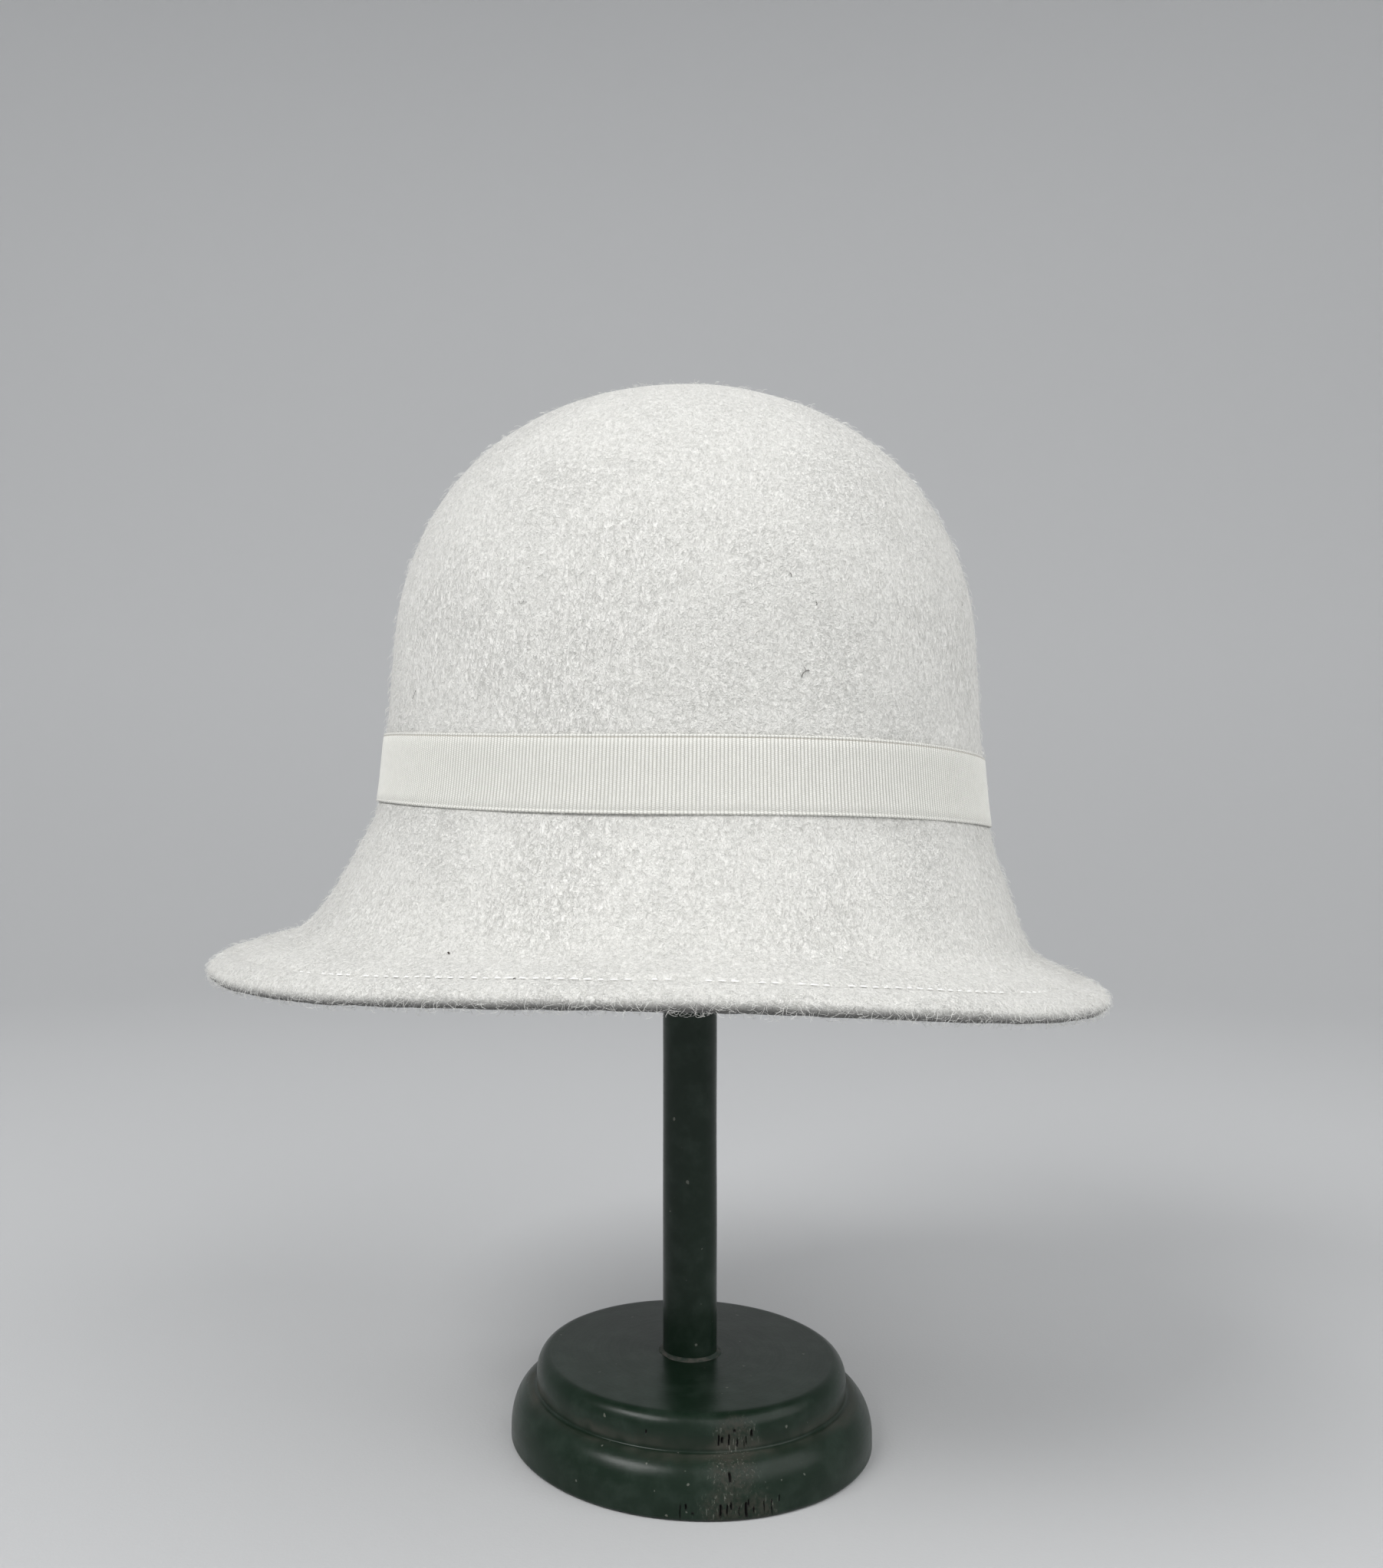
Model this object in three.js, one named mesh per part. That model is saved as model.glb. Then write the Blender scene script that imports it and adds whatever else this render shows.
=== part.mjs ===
// A cloche hat of stiff wool felt with a grosgrain ribbon round its crown, on a turned wooden hat stand.
// Millimetres, +Z up. The origin is the centre of the stand's foot, on the table.
// The hat's front points along -X, and its left side faces -Y.

import * as THREE from 'three';

// Felt hood: the crown's foot is the line where the head goes in
const feltThickness = 2.2;
const crownHalfLength = 100.5;
const crownHalfWidth = 87.4;
const crownHeight = 142.0;
const crownLean = 1.2; // how far the tip sits forward of the crown's foot

// Brim: how far its edge lies below the crown's foot, and outside it
const brimDepth = 49.8;
const brimFrontReach = 51.0;
const brimSideReach = 42.0;
const brimBackReach = 34.8;
const brimSideLift = 7.6; // the edge at the sides is this much higher than at front and back
const hemWidth = 10.0; // the edge is turned under by this much and stitched down

// Ribbon
const ribbonWidth = 22.0;
const ribbonThickness = 0.8;
const ribbonFoot = 1.4; // its lower edge lies this far above the crown's foot
const ribbonFrontRise = 0.8; // it sits a little higher at the front than at the back
const ribbonWave = 1.0; // and wavers this much as it goes round
const ribbonLap = 14.0; // its end lies over its start by this much, on the right side
const ribbonGap = 0.3;

// Stand
const footRadius = 59.7;
const footHeight = 16.6;
const stepRadius = 51.3;
const stepHeight = 10.4;
const postRadius = 9.0;
const socketDepth = 17.0;
const socketGap = 0.3;
const standHeight = 344.0; // to the top of the dome inside the crown
const domeRadius = 42.0; // of the disc, seen from above
const domeCurve = 62.0; // radius of its round top
const domeRim = 7.0; // height of its upright side

// How the hat sits on the dome
const hatTilt = THREE.MathUtils.degToRad(1.55); // its back hangs lower
const hatSlide = -3.7; // the crown's foot is centred this far forward of the post
const seatGap = 0.3;

// Fineness of the meshes
const sidesRound = 64;
const crownRings = 14;
const skirtRings = 10;
const hemRings = 3;
const edgeSteps = 4;
const ribbonRows = 4;
const lapEdgeAngle = 0.004; // the ribbon's end is a step, this wide in radians
const latheSides = 48;

// Crown rows from the tip down. Height is a share of crownHeight, reach a share of the foot's half length
// and half width.
const crownRows = [
  { height: 1.0, reach: 0.0 },
  { height: 0.955, reach: 0.361 },
  { height: 0.88, reach: 0.574 },
  { height: 0.78, reach: 0.741 },
  { height: 0.65, reach: 0.861 },
  { height: 0.5, reach: 0.932 },
  { height: 0.32, reach: 0.959 },
  { height: 0.16, reach: 0.973 },
  { height: 0.0, reach: 1.0 },
];

// Brim rows from the crown's foot to the edge. Drop is a share of brimDepth, front, side and back are
// shares of the three reaches, and lift is a share of brimSideLift.
const brimRows = [
  { drop: 0.2, front: 0.095, side: 0.09, back: 0.082, lift: 0.04 },
  { drop: 0.4, front: 0.193, side: 0.19, back: 0.188, lift: 0.16 },
  { drop: 0.6, front: 0.312, side: 0.295, back: 0.285, lift: 0.36 },
  { drop: 0.78, front: 0.475, side: 0.44, back: 0.415, lift: 0.61 },
  { drop: 0.885, front: 0.765, side: 0.72, back: 0.665, lift: 0.78 },
  { drop: 0.95, front: 0.94, side: 0.92, back: 0.89, lift: 0.9 },
  { drop: 1.0, front: 1.0, side: 1.0, back: 1.0, lift: 1.0 },
];

// One row of the hood as real lengths, the distances from the axis to the outer face
function crownSection({ height, reach }) {
  return {
    z: height * crownHeight,
    front: reach * crownHalfLength,
    side: reach * crownHalfWidth,
    back: reach * crownHalfLength,
    lift: 0,
    lean: height * crownLean,
  };
}

function brimSection({ drop, front, side, back, lift }) {
  return {
    z: -drop * brimDepth,
    front: crownHalfLength + front * brimFrontReach,
    side: crownHalfWidth + side * brimSideReach,
    back: crownHalfLength + back * brimBackReach,
    lift: lift * brimSideLift,
    lean: 0,
  };
}

const sections = [...crownRows.map(crownSection), ...brimRows.map(brimSection)];

// The point of a section at an angle round the hat: 0 is the front, a quarter turn the left side.
// A negative sign gives the point across the tip.
function sectionPoint(section, angle, sign = 1) {
  const forward = Math.cos(angle) > 0 ? section.front : section.back;
  return new THREE.Vector3(
    -sign * forward * Math.cos(angle) - section.lean,
    -sign * section.side * Math.sin(angle),
    section.z + section.lift * Math.sin(angle) ** 4,
  );
}

// The outer face's line from the tip to the brim's edge. The curve starts one row across the tip, so that
// the tip is round.
function meridian(angle) {
  const points = [sectionPoint(sections[1], angle, -1), ...sections.map((row) => sectionPoint(row, angle))];
  const curve = new THREE.CatmullRomCurve3(points);
  const spans = points.length - 1;
  return (row) => curve.getPoint((row + 1) / spans);
}

const footRow = crownRows.length - 1;
const edgeRow = sections.length - 1;

// Rows at equal steps of length along a meridian, between two of its rows
function evenRows(line, from, to, steps) {
  const samples = 400;
  const lengths = [0];
  let last = line(from);
  for (let i = 1; i <= samples; i++) {
    const next = line(from + ((to - from) * i) / samples);
    lengths.push(lengths[i - 1] + next.distanceTo(last));
    last = next;
  }
  const rowAt = (length) => {
    let i = 1;
    while (i < samples && lengths[i] < length) i++;
    const part = (length - lengths[i - 1]) / (lengths[i] - lengths[i - 1]);
    return from + ((to - from) * (i - 1 + part)) / samples;
  };
  const total = lengths[samples];
  return { total, rowAt, rows: Array.from({ length: steps + 1 }, (_, i) => rowAt((total * i) / steps)) };
}

// The outer face as rings from the tip to the edge. The hem starts at the same distance from the edge all
// the way round.
function hoodStations(line) {
  const crown = evenRows(line, 0, footRow, crownRings).rows;
  const brim = evenRows(line, footRow, edgeRow, 1);
  const hemRow = brim.rowAt(brim.total - hemWidth);
  const skirt = evenRows(line, footRow, hemRow, skirtRings).rows;
  const hem = evenRows(line, hemRow, edgeRow, hemRings).rows;
  return [...crown, ...skirt.slice(1), ...hem.slice(1)];
}

const small = 1e-3;

// Outward normal of the outer face
function outward(angle, row) {
  const line = meridian(angle);
  const down = line(Math.min(row + small, edgeRow)).sub(line(Math.max(row - small, 0)));
  const round = meridian(angle + small)(row).sub(meridian(angle - small)(row));
  return round.lengthSq() < 1e-12 ? new THREE.Vector3(0, 0, 1) : down.cross(round).normalize();
}

const angles = Array.from({ length: sidesRound }, (_, j) => (2 * Math.PI * j) / sidesRound);

// Lines of points that each go down the hat, turned into rings that each go round it
function ringsOf(columns) {
  return columns[0].map((_, ring) => columns.map((column) => column[ring]));
}

// A closed mesh from rings of points that each go round once, with a single point at each end
function closedFromRings(first, rings, last) {
  const count = rings[0].length;
  const points = [first, ...rings.flat(), last];
  const faces = [];
  const at = (ring, j) => 1 + ring * count + (j % count);
  for (let j = 0; j < count; j++) {
    faces.push(0, at(0, j), at(0, j + 1));
    for (let ring = 0; ring + 1 < rings.length; ring++) {
      faces.push(at(ring, j), at(ring + 1, j), at(ring + 1, j + 1));
      faces.push(at(ring, j), at(ring + 1, j + 1), at(ring, j + 1));
    }
    faces.push(at(rings.length - 1, j), points.length - 1, at(rings.length - 1, j + 1));
  }
  return meshGeometry(points, faces);
}

// A closed band from rings that each go round once, where the last ring joins the first
function closedBand(rings) {
  const count = rings[0].length;
  const faces = [];
  const at = (ring, j) => (ring % rings.length) * count + (j % count);
  for (let j = 0; j < count; j++) {
    for (let ring = 0; ring < rings.length; ring++) {
      faces.push(at(ring, j), at(ring + 1, j), at(ring + 1, j + 1));
      faces.push(at(ring, j), at(ring + 1, j + 1), at(ring, j + 1));
    }
  }
  return meshGeometry(rings.flat(), faces);
}

function meshGeometry(points, faces) {
  const geometry = new THREE.BufferGeometry().setFromPoints(points);
  geometry.setIndex(faces);
  geometry.computeVertexNormals();
  return geometry;
}

// The felt: outer face, round folded edge, the hem's underside, its raw edge, then the inner face
function feltHood() {
  const columns = angles.map((angle) => {
    const line = meridian(angle);
    const stations = hoodStations(line);
    const outer = stations.map((row) => line(row));
    const normals = stations.map((row) => outward(angle, row));
    const under = (i, layers) => outer[i].clone().addScaledVector(normals[i], -layers * feltThickness);
    const edge = outer.length - 1;
    const hemStart = edge - hemRings;
    const outwardAlong = line(edgeRow).sub(line(edgeRow - small)).normalize();
    const fold = Array.from({ length: edgeSteps }, (_, k) => {
      const turn = (Math.PI * (k + 1)) / edgeSteps;
      return under(edge, 1)
        .addScaledVector(normals[edge], feltThickness * Math.cos(turn))
        .addScaledVector(outwardAlong, feltThickness * Math.sin(turn));
    });
    const hemUnder = Array.from({ length: hemRings }, (_, k) => under(edge - 1 - k, 2));
    const inner = Array.from({ length: hemStart }, (_, k) => under(hemStart - k, 1));
    return [...outer.slice(1), ...fold, ...hemUnder, ...inner];
  });
  const tip = sectionPoint(sections[0], 0);
  const innerTip = tip.clone().setZ(tip.z - feltThickness);
  return closedFromRings(tip, ringsOf(columns), innerTip);
}

// The meridian's row whose height is z, found between the tip and the brim's edge
function rowAtHeight(line, z) {
  let high = 0;
  let low = edgeRow;
  for (let i = 0; i < 40; i++) {
    const middle = (high + low) / 2;
    if (line(middle).z > z) high = middle;
    else low = middle;
  }
  return (high + low) / 2;
}

// The ribbon: a flat ring round the crown, twice as thick where its end lies over its start
function ribbonBand() {
  const lapMiddle = (3 * Math.PI) / 2;
  const halfLap = ribbonLap / 2 / crownHalfWidth;
  const lapStart = lapMiddle - halfLap;
  const lapEnd = lapMiddle + halfLap;
  const steps = [lapStart - lapEdgeAngle, lapStart, lapEnd, lapEnd + lapEdgeAngle];
  const clearOfSteps = (angle) => steps.every((step) => Math.abs(angle - step) > 2 * lapEdgeAngle);
  const ribbonAngles = [...angles.filter(clearOfSteps), ...steps].sort((a, b) => a - b);
  const columns = ribbonAngles.map((angle) => {
    const line = meridian(angle);
    const sway = ribbonFrontRise * Math.cos(angle) + ribbonWave * Math.cos(3 * angle);
    const lapped = angle > lapStart - lapEdgeAngle / 2 && angle < lapEnd + lapEdgeAngle / 2;
    const thickness = lapped ? 2 * ribbonThickness : ribbonThickness;
    const rows = Array.from({ length: ribbonRows + 1 }, (_, k) => {
      return rowAtHeight(line, ribbonFoot + sway + (ribbonWidth * k) / ribbonRows);
    });
    const face = (offset) => rows.map((row) => line(row).addScaledVector(outward(angle, row), offset));
    return [...face(ribbonGap), ...face(ribbonGap + thickness).reverse()];
  });
  return closedBand(ringsOf(columns));
}

// Turned pieces are lathed about Z from a profile of radius and height
function turned(profile) {
  const geometry = new THREE.LatheGeometry(profile, latheSides);
  geometry.rotateX(Math.PI / 2);
  return geometry;
}

// A quarter round of the profile, from its upright lower end to its level upper end
function quarterRound(radius, top, width, height, steps) {
  return Array.from({ length: steps + 1 }, (_, i) => {
    const turn = (Math.PI / 2) * (i / steps);
    return new THREE.Vector2(radius - width * (1 - Math.cos(turn)), top - height * (1 - Math.sin(turn)));
  });
}

const baseHeight = footHeight + stepHeight;
const socketRadius = postRadius + socketGap;

// Two round steps, with a blind socket for the post
function standBase() {
  const footRoundWidth = footRadius - stepRadius;
  const footRoundHeight = 0.74 * footHeight;
  const footChamfer = 0.05 * footHeight;
  const stepRoundWidth = 0.42 * stepHeight;
  const stepRoundHeight = 0.62 * stepHeight;
  const profile = [
    new THREE.Vector2(0, 0),
    new THREE.Vector2(footRadius - footChamfer, 0),
    new THREE.Vector2(footRadius, footChamfer),
    ...quarterRound(footRadius, footHeight, footRoundWidth, footRoundHeight, 5),
    ...quarterRound(stepRadius, baseHeight, stepRoundWidth, stepRoundHeight, 4),
    new THREE.Vector2(socketRadius, baseHeight),
    new THREE.Vector2(socketRadius, baseHeight - socketDepth),
    new THREE.Vector2(0, baseHeight - socketDepth),
  ];
  return turned(profile);
}

const domeDrop = domeCurve - Math.sqrt(domeCurve ** 2 - domeRadius ** 2);
const domeFoot = standHeight - domeDrop - domeRim;

// The hidden rest inside the crown: a disc with a round top, bored from below for the post
function standDome() {
  const steps = 7;
  const sweep = Math.asin(domeRadius / domeCurve);
  const top = Array.from({ length: steps + 1 }, (_, i) => {
    const turn = sweep * (1 - i / steps);
    return new THREE.Vector2(domeCurve * Math.sin(turn), standHeight - domeCurve * (1 - Math.cos(turn)));
  });
  const profile = [
    new THREE.Vector2(0, domeFoot + socketDepth),
    new THREE.Vector2(socketRadius, domeFoot + socketDepth),
    new THREE.Vector2(socketRadius, domeFoot),
    new THREE.Vector2(domeRadius, domeFoot),
    ...top.slice(0, -1),
    new THREE.Vector2(0, standHeight),
  ];
  return turned(profile);
}

function standPost() {
  const foot = baseHeight - socketDepth + socketGap;
  const top = domeFoot + socketDepth - socketGap;
  const geometry = new THREE.CylinderGeometry(postRadius, postRadius, top - foot, latheSides);
  geometry.rotateX(Math.PI / 2);
  geometry.translate(0, 0, (foot + top) / 2);
  return geometry;
}

// Lowers the hat from above until its felt clears the dome by seatGap
function seat(hat, hood, dome) {
  hat.position.z = standHeight;
  hat.updateMatrixWorld(true);
  const up = new THREE.Vector3(0, 0, 1);
  const points = dome.geometry.getAttribute('position');
  let clear = Infinity;
  for (let i = 0; i < points.count; i++) {
    const from = new THREE.Vector3().fromBufferAttribute(points, i);
    const [hit] = new THREE.Raycaster(from, up).intersectObject(hood);
    if (hit) clear = Math.min(clear, hit.distance);
  }
  hat.position.z += seatGap - clear;
}

const feltWhite = new THREE.MeshStandardMaterial({ color: 0xe9e9e4, roughness: 0.95, metalness: 0 });
const ribbonIvory = new THREE.MeshStandardMaterial({ color: 0xe6e5dc, roughness: 0.7, metalness: 0 });
const greenPaint = new THREE.MeshStandardMaterial({ color: 0x1f3129, roughness: 0.4, metalness: 0 });
const plainWood = new THREE.MeshStandardMaterial({ color: 0xb59a76, roughness: 0.7, metalness: 0 });

function named(name, geometry, material) {
  const mesh = new THREE.Mesh(geometry, material);
  mesh.name = name;
  return mesh;
}

const hood = named('felt_hood', feltHood(), feltWhite);
const ribbon = named('ribbon_band', ribbonBand(), ribbonIvory);
const dome = named('stand_dome', standDome(), plainWood);
const hat = new THREE.Group().add(hood, ribbon);
for (const mesh of hat.children) mesh.position.x = hatSlide;
hat.rotation.y = hatTilt;
seat(hat, hood, dome);

const clocheOnStand = new THREE.Group();
clocheOnStand.add(hat);
clocheOnStand.add(named('stand_base', standBase(), greenPaint));
clocheOnStand.add(named('stand_post', standPost(), greenPaint));
clocheOnStand.add(dome);

export default clocheOnStand;
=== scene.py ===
"""A white felt cloche hat with a grosgrain ribbon, resting on a dark green turned hat stand."""

import math

import bpy
import numpy as np
from bpy.props import FloatProperty, FloatVectorProperty, IntProperty, PointerProperty
from bpy.types import Operator, Panel, PropertyGroup
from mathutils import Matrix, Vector


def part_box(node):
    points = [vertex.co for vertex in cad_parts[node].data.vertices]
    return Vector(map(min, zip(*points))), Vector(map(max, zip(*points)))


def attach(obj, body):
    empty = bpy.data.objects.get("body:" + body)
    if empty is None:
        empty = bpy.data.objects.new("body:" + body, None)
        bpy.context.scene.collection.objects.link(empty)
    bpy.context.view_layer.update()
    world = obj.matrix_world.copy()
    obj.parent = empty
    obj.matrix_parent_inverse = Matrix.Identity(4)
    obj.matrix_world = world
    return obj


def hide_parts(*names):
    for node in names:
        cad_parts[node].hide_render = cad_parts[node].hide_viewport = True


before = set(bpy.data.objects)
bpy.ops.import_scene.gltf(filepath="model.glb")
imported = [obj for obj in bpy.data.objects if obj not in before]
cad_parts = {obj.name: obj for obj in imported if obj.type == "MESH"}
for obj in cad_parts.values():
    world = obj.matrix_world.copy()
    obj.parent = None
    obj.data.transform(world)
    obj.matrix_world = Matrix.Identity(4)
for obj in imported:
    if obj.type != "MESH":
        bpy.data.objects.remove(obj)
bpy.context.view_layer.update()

bl_info = {
    "name": "Cloche Hat on a Stand",
    "version": (1, 0, 0),
    "blender": (4, 5, 0),
    "location": "View3D > Sidebar > Cloche",
    "description": "Makes a felt cloche hat, its ribbon, stitches and nap, and the turned stand under it",
    "category": "Object",
}

MM = 0.001
PHOTO_WIDTH, PHOTO_HEIGHT = 1803, 2044
SEED = 27


def size(millimetres, description):
    """A length that the user can change, given in millimetres and kept in metres."""
    return FloatProperty(description=description, default=millimetres * MM, unit="LENGTH", precision=5)


def share(value, description):
    return FloatProperty(description=description, default=value, min=0, max=1, subtype="FACTOR")


def angle(degrees, description):
    return FloatProperty(description=description, default=math.radians(degrees), subtype="ANGLE")


def count(value, description):
    return IntProperty(description=description, default=value, min=1)


def colour(value, description):
    return FloatVectorProperty(description=description, default=value, min=0, max=1, size=3, subtype="COLOR")


class HoodSettings(PropertyGroup):
    half_length: size(100.5, "From the middle of the crown's foot to its front")
    half_width: size(87.4, "From the middle of the crown's foot to its side")
    height: size(142.0, "From the crown's foot to its tip")
    lean: size(1.2, "How far the tip sits forward of the foot")
    brim_depth: size(49.8, "How far the brim's edge lies below the crown's foot")
    brim_front: size(51.0, "How far the brim's edge lies outside the crown's foot at the front")
    brim_side: size(42.0, "How far the brim's edge lies outside the crown's foot at the side")
    brim_back: size(34.8, "How far the brim's edge lies outside the crown's foot at the back")
    side_lift: size(7.6, "How much higher the brim's edge is at the sides")
    thickness: size(2.2, "Thickness of the felt")
    hem_width: size(10.0, "How much of the edge is turned under")
    unevenness: size(0.22, "How far the blocked felt strays from its true shape")
    tilt: angle(1.55, "How far the back of the hat hangs lower")
    slide: size(-3.7, "Where the crown's foot is centred, from the post towards the back")


class RibbonSettings(PropertyGroup):
    width: size(22.0, "Width of the ribbon")
    thickness: size(0.8, "Thickness of the ribbon with its ribs")
    foot: size(1.4, "Height of its lower edge above the crown's foot")
    front_rise: size(0.8, "How much higher it sits at the front than in the middle")
    wave: size(1.0, "How much it wavers as it goes round")
    lap: size(14.0, "How far its end lies over its start")
    gap: size(0.3, "Gap between the ribbon and the felt")
    rib_pitch: size(1.075, "From one rib to the next")
    rib_height: size(0.34, "How far the ribs stand up")
    bead_pitch: size(0.57, "From one warp thread to the next but one, along a rib")
    selvedge: size(0.85, "Width of the beaded edge")


class StitchSettings(PropertyGroup):
    pitch: size(3.35, "From one stitch to the next")
    length: size(2.15, "Length of the thread that shows")
    thickness: size(0.68, "Thickness of the thread")
    inset: size(9.2, "From the brim's edge to the stitches")
    sink: size(0.85, "How deep the thread pulls the felt in")
    groove: size(1.9, "Half the width of the dip along the stitches")
    shown: share(0.82, "Share of the stitches that the nap doesn't hide")


class NapSettings(PropertyGroup):
    fibre: size(0.08, "Thickness of a wool fibre")
    nap_length: size(2.6, "Length of the fibres on the felt")
    nap_count: count(8500, "Number of fibres on the crown, and again on the brim")
    edge_fibre: size(0.07, "Thickness of a loose fibre at the brim's edge")
    edge_length: size(2.6, "Length of the loose fibres at the brim's edge")
    edge_count: count(7000, "Number of loose fibres at the brim's edge")


class StandSettings(PropertyGroup):
    foot_radius: size(59.7, "Radius of the lower step")
    foot_height: size(16.6, "Height of the lower step")
    step_radius: size(51.3, "Radius of the upper step")
    step_height: size(10.4, "Height of the upper step")
    post_radius: size(9.0, "Radius of the post")
    socket_depth: size(17.0, "Depth of the post's two sockets")
    socket_gap: size(0.3, "Gap round the post in its sockets")
    dome_radius: size(42.0, "Radius of the disc that the crown rests on")
    dome_curve: size(62.0, "Radius of its round top")


class ColourSettings(PropertyGroup):
    felt: colour((0.90, 0.89, 0.853), "The felt's light fibres")
    felt_shade: colour((0.513, 0.508, 0.48), "The felt between its fibres")
    fibre: colour((0.86, 0.855, 0.826), "The fibres that stand up from the felt")
    ribbon: colour((0.81, 0.805, 0.76), "The ribbon's ribs")
    # Painted shade in the grooves between the ribs, and also the ribbon's darker yarns
    ribbon_shade: colour((0.52, 0.515, 0.475), "The ribbon between its ribs")
    selvedge: colour((0.42, 0.37, 0.30), "The line inside the ribbon's upper edge")
    thread: colour((0.97, 0.97, 0.96), "The stitches")
    lint: colour((0.05, 0.04, 0.035), "Specks and hairs caught on the felt")
    paint: colour((0.0065, 0.0165, 0.0092), "The stand's bottle green paint")
    paint_light: colour((0.018, 0.031, 0.022), "Rubbed and dusty paint")
    scuff: colour((0.17, 0.175, 0.15), "Pale streaks where the paint is rubbed")
    dirt: colour((0.066, 0.064, 0.053), "Dust in the crease and round the post")
    bare_wood: colour((0.050, 0.045, 0.036), "Wood where the paint has worn off")
    wood: colour((0.46, 0.32, 0.18), "The dome's unpainted wood")
    floor: colour((0.56, 0.565, 0.57), "The floor")
    backdrop: colour((0.60, 0.605, 0.61), "The backdrop")


class ClocheSettings(PropertyGroup):
    hood: PointerProperty(type=HoodSettings)
    ribbon: PointerProperty(type=RibbonSettings)
    stitch: PointerProperty(type=StitchSettings)
    nap: PointerProperty(type=NapSettings)
    stand: PointerProperty(type=StandSettings)
    colours: PointerProperty(type=ColourSettings)


def settings():
    return bpy.context.scene.cloche


# Node trees

def add(tree, kind, inputs=None, **options):
    """Adds a node. Each of its inputs gets a value, or a link where the value is another node's output."""
    node = tree.nodes.new(kind)
    for key, value in options.items():
        setattr(node, key, value)
    for key, value in (inputs or {}).items():
        if isinstance(value, bpy.types.NodeSocket):
            tree.links.new(value, node.inputs[key])
        else:
            node.inputs[key].default_value = value
    return node


def calculate(tree, operation, *values):
    return add(tree, "ShaderNodeMath", dict(enumerate(values)), operation=operation).outputs[0]


def times(tree, first, second):
    return calculate(tree, "MULTIPLY", first, second)


def plus(tree, first, second):
    return calculate(tree, "ADD", first, second)


def minus(tree, first, second):
    return calculate(tree, "SUBTRACT", first, second)


def over(tree, first, second):
    return calculate(tree, "DIVIDE", first, second)


def ridges(tree, value, per_step=1.0):
    """Rounded ridges from 0 to 1, per_step of them to each whole step of the value."""
    return calculate(tree, "ABSOLUTE", calculate(tree, "SINE", times(tree, value, per_step * math.pi)))


def mixed(tree, share_of_second, first, second):
    values = {0: share_of_second, 2: first, 3: second}
    return add(tree, "ShaderNodeMix", values, data_type="FLOAT").outputs[0]


def named_attribute(tree, name, kind="FLOAT"):
    return add(tree, "GeometryNodeInputNamedAttribute", {"Name": name}, data_type=kind).outputs["Attribute"]


def random_between(tree, low, high, seed):
    values = {"Min": low, "Max": high, "Seed": seed}
    return add(tree, "FunctionNodeRandomValue", values, data_type="FLOAT_VECTOR").outputs[0]


def turned_by(tree, rotation, euler):
    """A rotation with a small turn added on its own axes."""
    turn = add(tree, "FunctionNodeEulerToRotation", {"Euler": euler}).outputs["Rotation"]
    values = {"Rotation": rotation, "Rotate By": turn}
    return add(tree, "FunctionNodeRotateRotation", values, rotation_space="LOCAL").outputs["Rotation"]


def vector_math(tree, operation, *values):
    return add(tree, "ShaderNodeVectorMath", dict(enumerate(values)), operation=operation)


def noise(tree, vector, scale, detail=3.0, roughness=0.5, distortion=0.0):
    values = {
        "Vector": vector, "Scale": scale, "Detail": detail, "Roughness": roughness, "Distortion": distortion,
    }
    return add(tree, "ShaderNodeTexNoise", values).outputs["Fac"]


def ramp(tree, factor, low, high, start=0.0, end=1.0):
    """A smooth ramp from start at low to end at high, level outside them."""
    values = {"Value": factor, "From Min": low, "From Max": high, "To Min": start, "To Max": end}
    node = add(tree, "ShaderNodeMapRange", values, clamp=True, interpolation_type="SMOOTHSTEP")
    return node.outputs["Result"]


def blend(tree, factor, first, second):
    first, second = (c if isinstance(c, bpy.types.NodeSocket) else (*c, 1.0) for c in (first, second))
    return add(tree, "ShaderNodeMix", {0: factor, 6: first, 7: second}, data_type="RGBA").outputs[2]


def new_material(name, **constants):
    """A material with a Principled shader whose constant inputs are set on its own sockets."""
    material = bpy.data.materials.new(name)
    material.use_nodes = True
    tree = material.node_tree
    tree.nodes.clear()
    shader = add(tree, "ShaderNodeBsdfPrincipled")
    for socket, value in constants.items():
        shader.inputs[socket.replace("_", " ")].default_value = value
    output = add(tree, "ShaderNodeOutputMaterial")
    tree.links.new(shader.outputs["BSDF"], output.inputs["Surface"])
    return material, tree, shader


def shade(tone, share_left):
    return tuple(share_left * c for c in tone)


def plug(tree, shader, colour_output, height=None, distance=0.0, strength=1.0, roughness=None):
    """Joins a pattern to the shader: its colour, its relief and its roughness."""
    tree.links.new(colour_output, shader.inputs["Base Color"])
    if roughness is not None:
        tree.links.new(roughness, shader.inputs["Roughness"])
    if height is not None:
        bump = add(tree, "ShaderNodeBump", {"Height": height, "Distance": distance, "Strength": strength})
        tree.links.new(bump.outputs["Normal"], shader.inputs["Normal"])


def object_coordinates(tree, stretch=(1.0, 1.0, 1.0)):
    place = add(tree, "ShaderNodeTexCoord").outputs["Object"]
    return add(tree, "ShaderNodeMapping", {"Vector": place, "Scale": stretch}).outputs["Vector"]


def mottled_material(name, first, second, pattern, low, high, stretch=(1, 1, 1), relief=None, **constants):
    """A material whose tone goes from first to second where a noise pattern goes from low to high."""
    material, tree, shader = new_material(name, **constants)
    spots = noise(tree, object_coordinates(tree, stretch), **pattern)
    tone = blend(tree, ramp(tree, spots, low, high), first, second)
    if relief is None:
        plug(tree, shader, tone)
    else:
        plug(tree, shader, tone, spots, **relief)
    return material


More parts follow.
